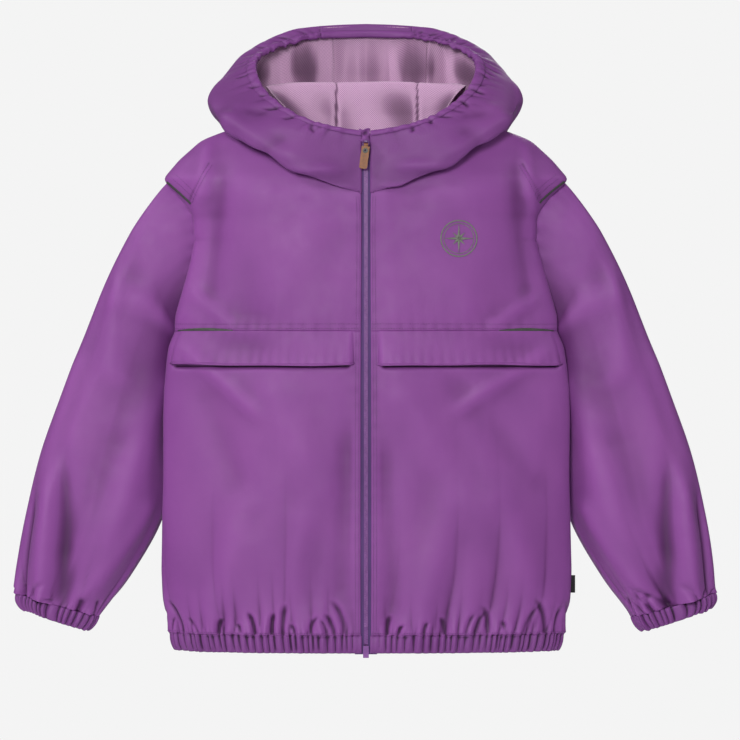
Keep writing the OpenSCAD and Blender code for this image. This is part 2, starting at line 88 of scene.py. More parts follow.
def curve_across(layers, t):
    """As curve, where each layer is an array of its own the shape of t."""
    stack = np.array(layers)
    last = len(stack) - 1
    s = np.clip(t, 0.0, 1.0) * last
    i = np.minimum(np.floor(s).astype(int), last - 1)
    f = s - i

    def pick(k):
        return np.take_along_axis(stack, k[None], axis=0)[0]

    a, b = pick(np.maximum(i - 1, 0)), pick(i)
    c, d = pick(i + 1), pick(np.minimum(i + 2, last))
    return between(a, b, c, d, f)


def table(pairs, blur):
    """A looked-up value made smooth: linear between the pairs, then blurred over some millimetres."""
    xs, ys = np.array(pairs, float).T
    grid = np.arange(xs[0] - 60, xs[-1] + 60, 1.0)
    low_slope = (ys[1] - ys[0]) / (xs[1] - xs[0])
    high_slope = (ys[-1] - ys[-2]) / (xs[-1] - xs[-2])
    values = np.interp(grid, xs, ys)
    values = np.where(grid < xs[0], ys[0] + (grid - xs[0]) * low_slope, values)
    values = np.where(grid > xs[-1], ys[-1] + (grid - xs[-1]) * high_slope, values)
    reach = np.arange(-30, 31)
    kernel = np.exp(-0.5 * (reach / blur) ** 2)
    padded = np.pad(values, 30, mode="reflect", reflect_type="odd")
    soft = np.convolve(padded, kernel / kernel.sum(), "valid")
    return lambda z: np.interp(z, grid, soft)


# ---- The body --------------------------------------------------------------------------------

HEM_LOW, HEM_TOP, YOKE_Z, FLAP_LOW = -620.0, -599.0, -238.0, -279.0
ZIP_GAP, NECK_HALF = 5.0, 88.0
BACK_YOKE_Z = -128.0
# Half the body's width, and its depth in front and behind, at heights from hem to shoulder.
body_w = table(
    [(-623, 229), (-596, 235), (-560, 241.5), (-524, 244.5), (-452, 246), (-380, 244), (-344, 242.5),
     (-308, 239.5), (-272, 234.5), (-236, 228.5), (-200, 221), (-165, 213.5), (-130, 206.5), (-100, 208),
     (-80, 221), (-66, 234), (-55, 243), (-32, 224), (-8, 197), (6, 160), (14, 118), (20, 89),
     (26, 70)], 3.0)
body_front = table([(-623, 52), (-74, 52), (-54, 47), (-30, 38), (-8, 26), (4, 18), (12, 12), (20, 6),
                    (26, 4)], 6.0)
body_back = table([(-623, 52), (-100, 52), (-54, 50), (-30, 46), (-18, 43), (-8, 40), (4, 30), (12, 18),
                   (20, 6), (26, 4)], 6.0)


def angle_at(x, z):
    return np.degrees(np.arccos(np.clip(np.abs(x) / body_w(z), 0, 1) ** (1 / ROUND)))


def body_points(side, angle, z, inset=0.0):
    """Points of the body. The angle is 90 at the zip, 0 at the side seam and -90 at the back's middle."""
    a = np.radians(angle)
    c = np.cos(a)
    depth = np.where(angle > 0, body_front(z), body_back(z)) - inset
    x = (body_w(z) - inset) * np.sign(c) * np.abs(c) ** ROUND
    return np.stack([side * x, -depth * np.sin(a), z + 0 * x], -1)


# Height of the neck seam at even turns from the back's middle to the zip.
NECK_Z = [-18, -13, 2, 20, -8, -50, -74]


def ring_x(half, a):
    """Distance from the middle of a ring round the neck, at a turn a from its back; it stops at the zip."""
    s = np.sin(np.radians(a))
    return np.where(a <= 90, half * s, ZIP_GAP + (half - ZIP_GAP) * s)


def neck_y(a, z):
    """Where the neck seam at a turn a and a height z meets the body, front to back."""
    x = ring_x(NECK_HALF, a)
    across = np.sqrt(np.clip(1 - np.clip(x / body_w(z), 0, 1) ** (2 / ROUND), 0, 1))
    return np.where(a > 90, -body_front(z), body_back(z)) * across


neck_turn = np.linspace(0, 180, 361)
neck_height = curve(NECK_Z, neck_turn / 180)
neck_angle = angle_at(ring_x(NECK_HALF, neck_turn), neck_height)


def top_of(angle):
    """Height of the neck seam at an angle of the body: the front for angles above 0."""
    front = neck_turn >= 90
    f_angle, f_z = np.maximum.accumulate(neck_angle[front]), neck_height[front]
    b_angle, b_z = neck_angle[~front][::-1], neck_height[~front][::-1]
    b_angle = np.maximum.accumulate(b_angle)
    return np.where(angle > 0, np.interp(angle, f_angle, f_z), np.interp(-angle, b_angle, b_z))


# ---- Folds -----------------------------------------------------------------------------------


def gathers(seed, low, high, gap, height, amp):
    """Cloth drawn up along a seam: places of its sharp valleys and how full each swelling between is."""
    rng = np.random.default_rng(seed)
    places = [low]
    while places[-1] < high:
        places.append(places[-1] + gap * rng.uniform(0.55, 1.5))
    places = np.array(places)
    return places, rng.uniform(0.45, 1.15, len(places)), gap, height, amp, rng.uniform(0, 6)


def gather_field(s, h, sets):
    """Swellings between sharp valleys; each set of them fades out at its own distance h from the seam."""
    total = np.zeros_like(s)
    for places, full, gap, height, amp, phase in sets:
        drift = 0.34 * h * np.sin(s / (gap * 2.7) + phase) * np.exp(-h / (1.6 * height))
        at = np.clip(s + drift, places[0], places[-1] - 1e-6)
        i = np.searchsorted(places, at, side="right") - 1
        i = np.clip(i, 0, len(places) - 2)
        u = (at - places[i]) / (places[i + 1] - places[i])
        swell = 1 - np.abs(2 * u - 1) ** 2.0
        reach = height * (0.55 + 0.6 * full[i])
        total += amp * full[i] * swell * np.exp(-((h / reach) ** 1.6))
    return total


def hook_field(s, h, seed, low, high, gap, tallest, depth):
    """Narrow dark creases that rise from a seam, lean over and end at different heights."""
    rng = np.random.default_rng(seed)
    total = np.zeros_like(s)
    at = low + gap * rng.uniform(0.2, 1)
    while at < high:
        tall = tallest * rng.uniform(0.3, 1.0)
        bend = rng.choice([-1, 1]) * rng.uniform(0.1, 0.5)
        line = at + bend * h * h / tall
        fade = smooth((tall - h) / (0.35 * tall))
        wide = 2.1 + 0.04 * tall
        total -= depth * rng.uniform(0.5, 1.0) * np.exp(-(((s - line) / wide) ** 2)) * fade
        at += gap * rng.uniform(0.5, 1.7)
    return total


def waves(seed, count, shortest, longest, slope):
    """A set of gentle random waves over the cloth; slope is how far their lines may lean."""
    rng = np.random.default_rng(seed)
    out = []
    for _ in range(count):
        length = rng.uniform(shortest, longest)
        lean = rng.normal(0, slope)
        turn = 2 * math.pi / length
        phase = rng.uniform(0, 2 * math.pi)
        out.append((turn * math.cos(lean), turn * math.sin(lean), phase, length / longest))
    return out


def wave_field(u, v, set_of_waves, amp):
    bend_u = 14 * np.sin(v / 57 + 1.3) + 8 * np.sin(u / 41 + v / 71)
    total = np.zeros_like(u)
    for ku, kv, phase, size in set_of_waves:
        p = ku * (u + bend_u) + kv * v + phase
        total += size * (1 - np.abs(np.sin(p / 2)) ** 1.5 * 1.7)
    return amp * total / math.sqrt(len(set_of_waves))


def strokes_field(u, v, strokes):
    """Single folds drawn as (u0, v0, u1, v1, width, amp)."""
    total = np.zeros_like(u)
    for u0, v0, u1, v1, width, amp in strokes:
        du, dv = u1 - u0, v1 - v0
        span = du * du + dv * dv
        t = ((u - u0) * du + (v - v0) * dv) / span
        off = ((u - u0) * dv - (v - v0) * du) / math.sqrt(span)
        along = np.exp(-(np.clip(np.abs(t - 0.5) - 0.38, 0, None) / 0.16) ** 2)
        total += amp * np.exp(-((off / width) ** 2)) * along
    return total


def pucker(s, h, pitch, reach, amp, seed):
    """Fine ripples beside a line of stitching, at a distance h from it."""
    wander = np.sin(s / (pitch * 2.3) + seed) + 0.6 * np.sin(s / (pitch * 3.7) + 2 * seed)
    return amp * np.sin(2 * math.pi * s / pitch + 1.4 * wander) * np.exp(-np.abs(h) / reach)


# Length round the hem from the zip, by the body's angle.
hem_turn = np.linspace(90, -90, 721)
hem_ring = body_points(1, hem_turn, np.full(721, HEM_TOP))
hem_run = np.concatenate([[0], np.cumsum(np.linalg.norm(np.diff(hem_ring, axis=0), axis=1))])
HALF_HEM = hem_run[-1]


def hem_length(angle):
    return np.interp(-angle, -hem_turn, hem_run)


SIDE_RUN = float(np.interp(0, -hem_turn, hem_run))
hem_pleats = {side: [gathers(31 + side, 10, HALF_HEM - 4, 7.6, 10, 2.8),
                     gathers(111 + side, 13, HALF_HEM - 5, 21, 30, 4.2),
                     gathers(211 + side, 20, HALF_HEM - 5, 62, 100, 5.5)] for side in (1, -1)}
casing_pleats = {side: [gathers(31 + side, 10, HALF_HEM - 4, 7.6, 400, 4.6)] for side in (1, -1)}
body_waves = waves(5, 8, 90, 210, 0.6)
# Single broad folds of the fronts, as x0, z0, x1, z1, width and height.
front_strokes = {
    1: [(190, -12, 197, -80, 9, 3.2), (199, -72, 219, -178, 8, 3.2), (176, -40, 196, -200, 14, -4.2),
        (60, -100, 128, -222, 26, 3.0), (34, -300, 140, -470, 26, 5.0), (96, -290, 214, -430, 22, -4.0),
        (150, -420, 214, -580, 22, 4.6), (105, -430, 60, -600, 22, 4.2), (24, -380, 34, -580, 13, -3.0),
        (215, -262, 110, -330, 10, 3.0), (205, -196, 150, -232, 9, 2.4)],
    -1: [(190, -12, 197, -80, 9, 3.2), (199, -72, 221, -180, 8, 3.2), (170, -44, 190, -204, 14, -4.2),
         (52, -96, 120, -214, 26, 3.0), (120, -296, 44, -440, 26, 4.6), (196, -300, 132, -470, 24, -4.0),
         (140, -430, 190, -590, 22, 4.6), (70, -450, 104, -600, 20, 4.0), (22, -360, 30, -560, 13, -3.2),
         (212, -260, 130, -336, 10, 3.0), (208, -190, 160, -230, 9, 2.4)],
}


EMBLEM, EMBLEM_R = np.array([110.0, -128.0]), 22.0


def groove(distance, width, depth):
    return -depth * np.exp(-((distance / width) ** 2))


def body_relief(side, s, z, points, kind):
    """How far the cloth stands off the body's plain shape, s millimetres round from the zip.

    The kind is "full", "flap" (without the line under the flap's edge) or "broad" (large folds only).
    """
    x = side * points[..., 0]
    front = smooth((SIDE_RUN - s) / 40)
    calm = smooth((s - 6) / 26) * smooth((HALF_HEM - s) / 12)
    drop = z - HEM_TOP
    above = np.clip(drop, 0, None)
    lift = gather_field(s, above, hem_pleats[side])
    lift += hook_field(s, above, 311 + side, 14, HALF_HEM - 8, 17, 46, 5.2) * smooth(drop / 3)
    lift -= 4.6 * np.exp(-((above / 75) ** 2))
    in_casing = smooth(-drop / 5 + 0.5)
    cased = 0.3 * lift + gather_field(s, 0 * s, casing_pleats[side]) - 3.0
    lift = mix(lift, cased, in_casing) * calm
    broad = wave_field(points[..., 0] + 0.6 * points[..., 1], z * 0.6, body_waves, 4.4)
    quiet = smooth((-z - 10) / 60) * smooth((drop - 4) / 50) * smooth(abs(z - YOKE_Z) / 30 + 0.25)
    broad = broad * smooth((s - 6) / 30) * quiet
    broad += strokes_field(x, z, front_strokes[side]) * front * smooth((s - 6) / 14)
    # The printed emblem keeps the cloth round it flatter.
    near_emblem = ((x - EMBLEM[0]) / 34) ** 2 + ((z - EMBLEM[1]) / 34) ** 2
    broad *= 1 - 0.75 * np.exp(-near_emblem) * front * (side > 0)
    if kind == "broad":
        return broad - 8.0 * np.exp(-((above / 70) ** 2))
    lift += broad
    lift += pucker(z, s - 10, 19, 7, 0.16, 1.7 + side) * smooth((z + 600) / 40) * front
    lift += pucker(s, z - YOKE_Z - 5, 15, 8, 0.22, 2.9 + side) * front * calm
    if kind == "full":
        opening = smooth((s - 16) / 8) * smooth((SIDE_RUN - 14 - s) / 8)
        lift += groove(z - FLAP_LOW + 0.6, 2.3, 4.4) * opening
    lift += pucker(points[..., 0], z - BACK_YOKE_Z, 15, 10, 0.4, 0.9) * (1 - front)
    lift += groove(drop, 1.8, 0.6) * smooth((s - 6) / 6)
    lift += groove(z - BACK_YOKE_Z, 2.0, 0.9) * (1 - front)
    shoulder_seam = 0.88 * (x - 211) + 0.478 * (z + 82)
    lift += groove(shoulder_seam, 2.2, 1.1) * smooth((z + 86) / 6) * smooth((-34 - z) / 6) * front
    return lift


def unit(n):
    return n / np.maximum(np.linalg.norm(n, axis=-1, keepdims=True), 1e-9)


def on_body(side, s, z, lift=0.0, kind="full"):
    """Points of the folded body, lifted off it; kind is as in body_relief, or None for the plain body."""

    def plain_body(run, height):
        return body_points(side, np.interp(run, hem_run, hem_turn), height)

    s, z = np.broadcast_arrays(np.asarray(s, float), np.asarray(z, float))
    p = plain_body(s, z)
    around = plain_body(s + 0.5, z) - plain_body(s - 0.5, z)
    up = plain_body(s, z + 0.5) - plain_body(s, z - 0.5)
    high = lift + (body_relief(side, s, z, p, kind) if kind else 0 * s)
    return p + side * unit(np.cross(around, up)) * high[..., None]


# ---- Mesh helpers ----------------------------------------------------------------------------


def normals(points):
    """Outward normals of a grid whose columns run to the right and rows run up, seen from outside."""
    return unit(np.cross(np.gradient(points, axis=1), np.gradient(points, axis=0)))


def blurred(grid, axis, cells):
    """A grid averaged along one axis by a soft window some cells wide."""
    reach = int(2.5 * cells) + 1
    pad = [(reach, reach) if k == axis else (0, 0) for k in range(grid.ndim)]
    wide = np.pad(grid, pad, mode="reflect", reflect_type="odd")
    weights = np.exp(-0.5 * (np.arange(-reach, reach + 1) / cells) ** 2)
    weights /= weights.sum()
    total = np.zeros_like(grid)
    for k, weight in enumerate(weights):
        part = [slice(None)] * grid.ndim
        part[axis] = slice(k, k + grid.shape[axis])
        total += weight * wide[tuple(part)]
    return total


def standing(points, reach):
    """How far each point of a grid stands above the cloth within reach of it, in millimetres."""
    cell_up = np.linalg.norm(np.diff(points, axis=0), axis=2).mean()
    cell_across = np.linalg.norm(np.diff(points, axis=1), axis=2).mean()
    soft = blurred(blurred(points, 0, min(reach / cell_up, 40)), 1, min(reach / cell_across, 40))
    return ((points - soft) * normals(soft)).sum(-1)


def painted_fold_shade(points, shade, painted_shelter_shade):
    """A number from -1 in sharp valleys to 1 on crests, for painted shade in the cloth's colour; the last
    argument paints extra shade on a sheltered place.
    """
    narrow, wide = standing(points, 2.6), standing(points, 13.0)
    return np.tanh(shade * (narrow / 1.1 + wide / 7.0) - painted_shelter_shade)


def grid_object(name, points, thick=CLOTH, shade=1.0, painted_shelter_shade=0.0):
    """A cloth mesh from a grid of points in millimetres round the body's middle plane."""
    rows, cols = points.shape[:2]
    world = (points + np.array([0, BODY_Y, 0])) * MM
    row = np.arange(rows - 1)[:, None]
    col = np.arange(cols - 1)[None, :]
    a, b = row * cols + col, row * cols + col + 1
    c, d = b + cols, a + cols
    faces = np.stack([a, b, c, d], -1).reshape(-1, 4)
    mesh = bpy.data.meshes.new(name)
    mesh.from_pydata(world.reshape(-1, 3).tolist(), [], faces.tolist())
    # The cloth's own grid for the weave: lengths across from the middle column and up from the bottom row.
    across = np.zeros((rows, cols))
    across[:, 1:] = np.cumsum(np.linalg.norm(np.diff(world, axis=1), axis=2), axis=1)
    u = across - across[:, cols // 2][:, None]
    v = np.zeros((rows, cols))
    v[1:] = np.cumsum(np.linalg.norm(np.diff(world, axis=0), axis=2), axis=0)
    layer = mesh.uv_layers.new(name="cloth")
    corner = np.empty(len(mesh.loops), int)
    mesh.loops.foreach_get("vertex_index", corner)
    uv = np.stack([u.reshape(-1)[corner], v.reshape(-1)[corner]], -1)
    layer.data.foreach_set("uv", uv.reshape(-1).astype(np.float32))
    mesh.polygons.foreach_set("use_smooth", np.ones(len(faces), bool))
    # The fold attribute is painted shade: darker in the valleys of folds, lighter on their crests. A strip
    # of a few rows has no folds of its own to shade.
    if rows > 6:
        fold = mesh.attributes.new("fold", "FLOAT", "POINT")
        fold_shades = painted_fold_shade(points, shade, painted_shelter_shade)
        fold.data.foreach_set("value", fold_shades.reshape(-1).astype(np.float32))
    mesh.update()
    piece = bpy.data.objects.new(name, mesh)
    bpy.context.scene.collection.objects.link(piece)
    cloth = piece.modifiers.new("thickness", "SOLIDIFY")
    cloth.thickness = thick
    cloth.offset = -1.0
    cloth.use_quality_normals = True
    return piece


def finish_piece(piece, material, body, nodes=(), blend=None):
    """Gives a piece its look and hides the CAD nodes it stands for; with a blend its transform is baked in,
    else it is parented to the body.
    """
    piece.data.materials.clear()
    piece.data.materials.append(material)
    if blend:
        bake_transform(piece)
    else:
        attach(piece, body)
    if nodes:
        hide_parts(*nodes)


# ---- Materials -------------------------------------------------------------------------------


def new_material(name):
    look = bpy.data.materials.new(name)
    look.use_nodes = True
    tree = look.node_tree
    return look, tree, tree.nodes["Principled BSDF"]


def rgb(r, g, b):
    """Display colour from 0 to 255 as the scene's linear colour."""
    parts = [v / 255 for v in (r, g, b)]
    return tuple(v / 12.92 if v < 0.04 else ((v + 0.055) / 1.055) ** 2.4 for v in parts) + (1.0,)


def grey(value):
    return (value, value, value, 1)


def link(tree, a, b):
    tree.links.new(a, b)


def mapped(tree, source="UV"):
    coord = tree.nodes.new("ShaderNodeTexCoord")
    place = tree.nodes.new("ShaderNodeMapping")
    link(tree, coord.outputs[source], place.inputs["Vector"])
    return place.outputs["Vector"]


def noise(tree, vector, scale, detail=2.0):
    n = tree.nodes.new("ShaderNodeTexNoise")
    n.inputs["Scale"].default_value = scale
    n.inputs["Detail"].default_value = detail
    link(tree, vector, n.inputs["Vector"])
    return n.outputs["Fac"]


def ramp(tree, fac, stops):
    r = tree.nodes.new("ShaderNodeValToRGB")
    elements = r.color_ramp.elements
    while len(elements) < len(stops):
        elements.new(0.5)
    for element, (position, colour) in zip(elements, stops):
        element.position = position
        element.color = colour
    link(tree, fac, r.inputs["Fac"])
    return r.outputs["Color"]


def maths(tree, kind, *values):
    n = tree.nodes.new("ShaderNodeMath")
    n.operation = kind
    for i, v in enumerate(values):
        if isinstance(v, (int, float)):
            n.inputs[i].default_value = v
        else:
            link(tree, v, n.inputs[i])
    return n.outputs[0]


def multiplied(tree, first, second):
    both = tree.nodes.new("ShaderNodeMix")
    both.data_type = "RGBA"
    both.blend_type = "MULTIPLY"
    both.inputs["Factor"].default_value = 1.0
    link(tree, first, both.inputs["A"])
    link(tree, second, both.inputs["B"])
    return both.outputs["Result"]


def cloth_grid(tree):
    """The two coordinates of the cloth's own grid, in metres."""
    split = tree.nodes.new("ShaderNodeSeparateXYZ")
    link(tree, mapped(tree), split.inputs[0])
    return split.outputs[0], split.outputs[1]


def ripple(tree, length, pitch):
    return maths(tree, "SINE", maths(tree, "MULTIPLY", length, math.pi / pitch))


def bump(tree, shader, parts):
    """Adds heights in metres: parts is (height socket, distance, strength)."""
    previous = None
    for height, distance, strength in parts:
        b = tree.nodes.new("ShaderNodeBump")
        b.inputs["Distance"].default_value = distance
        b.inputs["Strength"].default_value = strength
        link(tree, height, b.inputs["Height"])
        if previous is not None:
            link(tree, previous, b.inputs["Normal"])
        previous = b.outputs["Normal"]
    link(tree, previous, shader.inputs["Normal"])


def folded(tree, colour, darkest_shade):
    """The colour with painted shade: darker in the valleys of folds and a little lighter on their crests.
    """
    fold = tree.nodes.new("ShaderNodeAttribute")
    fold.attribute_name = "fold"
    place = maths(tree, "MULTIPLY_ADD", fold.outputs["Fac"], 0.5, 0.5)
    middle = 0.5 + 0.5 * darkest_shade
    valley_shade = (darkest_shade, 0.7 * darkest_shade, darkest_shade, 1)
    slope = (middle, 0.9 * middle, middle, 1)
    stops = [(0.0, valley_shade), (0.28, slope), (0.5, grey(0.86)), (0.74, grey(0.97)), (1.0, grey(1))]
    return multiplied(tree, colour, ramp(tree, place, stops))


def woven(name, base, dark, light, rough=0.55, pitch=0.0007):
    """Woven cloth: over-and-under threads, slightly uneven colour and a fine crinkle."""
    look, tree, shader = new_material(name)
    place = mapped(tree, "Object")
    tone = ramp(tree, noise(tree, place, 9.0, 3.0), [(0.30, dark), (0.5, base), (0.72, light)])
    across, up = cloth_grid(tree)
    threads = maths(tree, "MULTIPLY", ripple(tree, across, pitch), ripple(tree, up, pitch))
    tone = multiplied(tree, tone, maths(tree, "MULTIPLY_ADD", threads, 0.05, 1.0))
    # The base colour carries painted shade from the folds.
    link(tree, folded(tree, tone, 0.16), shader.inputs["Base Color"])
    spread = ramp(tree, noise(tree, place, 60.0), [(0.3, grey(rough - 0.07)), (0.7, grey(rough + 0.07))])
    link(tree, spread, shader.inputs["Roughness"])
    shader.inputs["Sheen Weight"].default_value = 0.04
    shader.inputs["Sheen Roughness"].default_value = 0.45
    shader.inputs["Specular IOR Level"].default_value = 0.28
    crinkle, fuzz = noise(tree, place, 34.0, 4.0), noise(tree, place, 420.0)
    bump(tree, shader, [(crinkle, 0.0007, 0.6), (fuzz, 0.0001, 0.5), (threads, 0.00006, 0.5)])
    return look


def knit_mesh(name, base, dark):
    """Warp-knit mesh: rows of small holes, each row shifted by half a hole."""
    look, tree, shader = new_material(name)
    pitch = 0.0026
    across, up = cloth_grid(tree)
    rising = ripple(tree, maths(tree, "ADD", across, up), pitch)
    falling = ripple(tree, maths(tree, "SUBTRACT", across, up), pitch)
    both = maths(tree, "MULTIPLY", rising, falling)
    hole = maths(tree, "MULTIPLY", both, both)
    tone = ramp(tree, hole, [(0.30, base), (0.62, dark)])
    # The base colour carries painted shade from the folds.
    link(tree, folded(tree, tone, 0.2), shader.inputs["Base Color"])
    place = mapped(tree, "Object")
    spread = ramp(tree, noise(tree, place, 80.0), [(0.3, grey(0.72)), (0.7, grey(0.86))])
    link(tree, spread, shader.inputs["Roughness"])
    shader.inputs["Sheen Weight"].default_value = 0.35
    flat = maths(tree, "SUBTRACT", 1.0, hole)
    bump(tree, shader, [(noise(tree, place, 26.0, 3.0), 0.001, 0.5), (flat, 0.0004, 0.7)])
    return look


def plain(name, base, dark, rough, metallic=0.0, grain=900.0, depth=0.00005):
    """An even surface with a fine grain."""
    look, tree, shader = new_material(name)
    place = mapped(tree, "Object")
    tone = ramp(tree, noise(tree, place, grain / 6, 3.0), [(0.35, dark), (0.65, base)])
    link(tree, tone, shader.inputs["Base Color"])
    finer = noise(tree, place, grain / 3)
    spread = ramp(tree, finer, [(0.3, grey(rough - 0.06)), (0.7, grey(rough + 0.08))])
    link(tree, spread, shader.inputs["Roughness"])
    shader.inputs["Metallic"].default_value = metallic
    bump(tree, shader, [(noise(tree, place, grain, 3.0), depth, 0.6)])
    return look


NYLON = woven("shell nylon", rgb(140, 75, 151), rgb(134, 71, 145), rgb(145, 79, 155))
# A darker copy of the shell nylon: painted shade for the hood, the hem casing, the cuffs, the walls inside
# them and the zip garage.
SHADED_NYLON = woven("shaded nylon", rgb(126, 67, 137), rgb(120, 63, 131), rgb(131, 71, 141))
MESH = knit_mesh("mesh lining", rgb(214, 170, 206), rgb(150, 104, 146))
TRIM = woven("trim tape", rgb(98, 68, 128), rgb(90, 62, 118), rgb(106, 74, 138), 0.7, 0.0009)
ELASTIC = woven("elastic", rgb(220, 218, 222), rgb(205, 203, 208), rgb(232, 231, 234), 0.8, 0.0012)
TEETH = plain("zip plastic", rgb(132, 76, 150), rgb(118, 66, 136), 0.42)
PAINTED = plain("painted zip metal", rgb(112, 74, 128), rgb(98, 63, 113), 0.35)
METAL = plain("zip metal", rgb(196, 196, 200), rgb(176, 176, 180), 0.28, metallic=1.0)
LEATHER = plain("tan leather", rgb(142, 90, 50), rgb(112, 68, 36), 0.5, grain=1400.0, depth=0.00012)
REFLECT = plain("reflective film", rgb(112, 118, 104), rgb(98, 104, 92), 0.45, grain=2200.0)
PIPING = plain("dark reflective piping", rgb(66, 70, 62), rgb(56, 60, 54), 0.45, grain=2200.0)
LABEL = woven("label", rgb(22, 20, 24), rgb(14, 12, 16), rgb(34, 32, 38), 0.6, 0.0006)
THREAD = plain("sewing thread", rgb(112, 62, 124), rgb(96, 52, 108), 0.6)

# ---- Body panels -----------------------------------------------------------------------------


def body_grid(side, from_s, to_s, low, high, lift=0.0, kind="full", step=STEP):
    """A grid over the body between two lengths from the zip and two heights, which may vary with s."""
    # More cells than the plain size needs, because the folds lengthen the cloth.
    rows = int((high(from_s) - low(from_s) + 90) / step) + 1
    cols = int((to_s - from_s) * 1.45 / step) + 1
    s = np.linspace(from_s, to_s, cols)[None, :]
    z = mix(low(s), high(s), np.linspace(0, 1, rows)[:, None])
    points = on_body(side, s, z, lift, kind)
    return points[:, ::side]


def level(z):
    return lambda s: z + 0 * np.asarray(s, float)


def neck_top(s):
    return top_of(np.interp(s, hem_run, hem_turn))


def lining_top(s):
    return neck_top(s) - 5


ZIP_SIDE = 6  # where the shell starts beside the zip
LINING_IN = -6.0  # how far the body's lining hangs inside the shell
lining_low = level(HEM_TOP + 4)
for word, side in SIDES:
    chest_points = body_grid(side, ZIP_SIDE, SIDE_RUN, level(YOKE_Z), neck_top)
    chest = grid_object("shell_chest_" + word, chest_points)
    finish_piece(chest, NYLON, "jacket", ["chest_panel_" + word])
    front_points = body_grid(side, ZIP_SIDE, SIDE_RUN, level(HEM_TOP), level(YOKE_Z))
    front = grid_object("shell_front_" + word, front_points)
    finish_piece(front, NYLON, "jacket", ["front_panel_" + word])
    bag_points = body_grid(side, 122, SIDE_RUN - 26, level(-552), level(-412), -3.6, "broad", 5.0)
    bag = grid_object("pocket_mesh_" + word, bag_points, thick=THIN)
    finish_piece(bag, MESH, "jacket", ["pocket_bag_" + word])
    inner_points = body_grid(side, 18, SIDE_RUN, lining_low, lining_top, LINING_IN, "broad", 6.0)
    inner = grid_object("mesh_front_" + word, inner_points)
    finish_piece(inner, MESH, "jacket", ["lining_" + word])


def both_sides(make):
    """One grid from the left side across the back to the right side."""
    left, right = make(1), make(-1)
    return np.concatenate([left, right[:, 1:]], axis=1)


def round_back(from_s, low, high, *how, **also):
    return both_sides(lambda side: body_grid(side, from_s, HALF_HEM, low, high, *how, **also))


# The back is one wide piece, so its cells are a little larger.
back = grid_object("shell_back", round_back(SIDE_RUN, level(HEM_TOP), neck_top, step=3.3))
finish_piece(back, NYLON, "jacket", ["back_panel"])
back_mesh = grid_object("mesh_back", round_back(SIDE_RUN, lining_low, lining_top, LINING_IN, "broad", 6.0))
finish_piece(back_mesh, MESH, "jacket", ["lining_back"])

# A casing is drawn from its turned-under edge to its seam; this part of the way turns under.
TURN_UNDER = 0.22


def casing_grid(side):
    """The hem casing: it turns under at the bottom and bulges a little over the elastic."""
    q = np.linspace(0, 1, 15)[:, None]
    s = np.linspace(5, HALF_HEM, int(HALF_HEM / 1.6))[None, :]
    turn = np.clip(q / TURN_UNDER, 0, 1)
    up = np.clip((q - TURN_UNDER) / (1 - TURN_UNDER), 0, 1)
    z = np.where(q < TURN_UNDER, HEM_LOW + 7 * (1 - turn) ** 2, mix(HEM_LOW, HEM_TOP, up))
    under = -4.5 * (1 - turn) ** 0.6 - 1.2 * turn
    tuck = np.where(q < TURN_UNDER, under, -1.2 * (1 - up) ** 4 + 1.3 * np.sin(math.pi * up))
    points = on_body(side, s, z, tuck)
    return points[:, ::side]


casing = grid_object("hem_band", both_sides(casing_grid), shade=2.0)
finish_piece(casing, SHADED_NYLON, "jacket", ["hem_casing"])
elastic_points = round_back(17, level(HEM_LOW + 2), level(HEM_TOP - 3), -6.4, None, 4.0)
elastic = grid_object("hem_stretch", elastic_points)
finish_piece(elastic, ELASTIC, "jacket", ["hem_elastic"])
wall_points = round_back(14, level(HEM_LOW + 1), level(HEM_TOP + 2), -8.2, None, 4.0)
hem_wall = grid_object("hem_wall", wall_points, thick=THIN)
finish_piece(hem_wall, SHADED_NYLON, "jacket")

# ---- Storm flaps -----------------------------------------------------------------------------

FLAP_TOP = YOKE_Z + 0.5
FLAP_START, FLAP_END = 13.5, SIDE_RUN - 12


def flap_grid(side):
    """The flap stands off the front a little more towards its lower edge, where it is turned under."""
    q = np.linspace(0, 1, 30)[:, None]
    s = np.linspace(FLAP_START, FLAP_END, 100)[None, :]
    turn = np.clip(q / 0.12, 0, 1)
    up = np.clip((q - 0.12) / 0.88, 0, 1)
    sag = 1.2 * np.sin(s / 37 + side) + 0.8 * np.sin(s / 17 + 2 * side)
    z = np.where(q < 0.12, FLAP_LOW + 3.0 * (1 - turn), mix(FLAP_LOW, FLAP_TOP, up)) - 0.5 * sag * (1 - up)
    sway = 0.9 * np.sin(s / 23 + 1.1 * side) * (1 - up) * smooth((s - 20) / 30)
    off = 1.0 + 3.8 * (1 - up) ** 1.5 + sway + pucker(s, (up - 0.12) * 40, 12, 8, 0.3, 4.1 + side)
    off = np.where(q < 0.12, off - 1.6 * (1 - turn), off)
    # Its two ends are sewn down.
    ends = np.exp(-(((s - FLAP_START) / 3.5) ** 2)) + np.exp(-(((s - FLAP_END) / 5.0) ** 2))
    points = on_body(side, s, z, off * (1 - ends) - 0.5 * ends, "flap")
    return points[:, ::side]


for word, side in SIDES:
    flap = grid_object("flap_" + word, flap_grid(side), thick=0.0012)
    bend = ("jacket", "flap_" + word, (0, 0, FLAP_TOP * MM), (0, 0, (FLAP_TOP - 13) * MM))
    finish_piece(flap, NYLON, None, ["storm_flap_" + word], bend)

# ---- Sleeves ---------------------------------------------------------------------------------

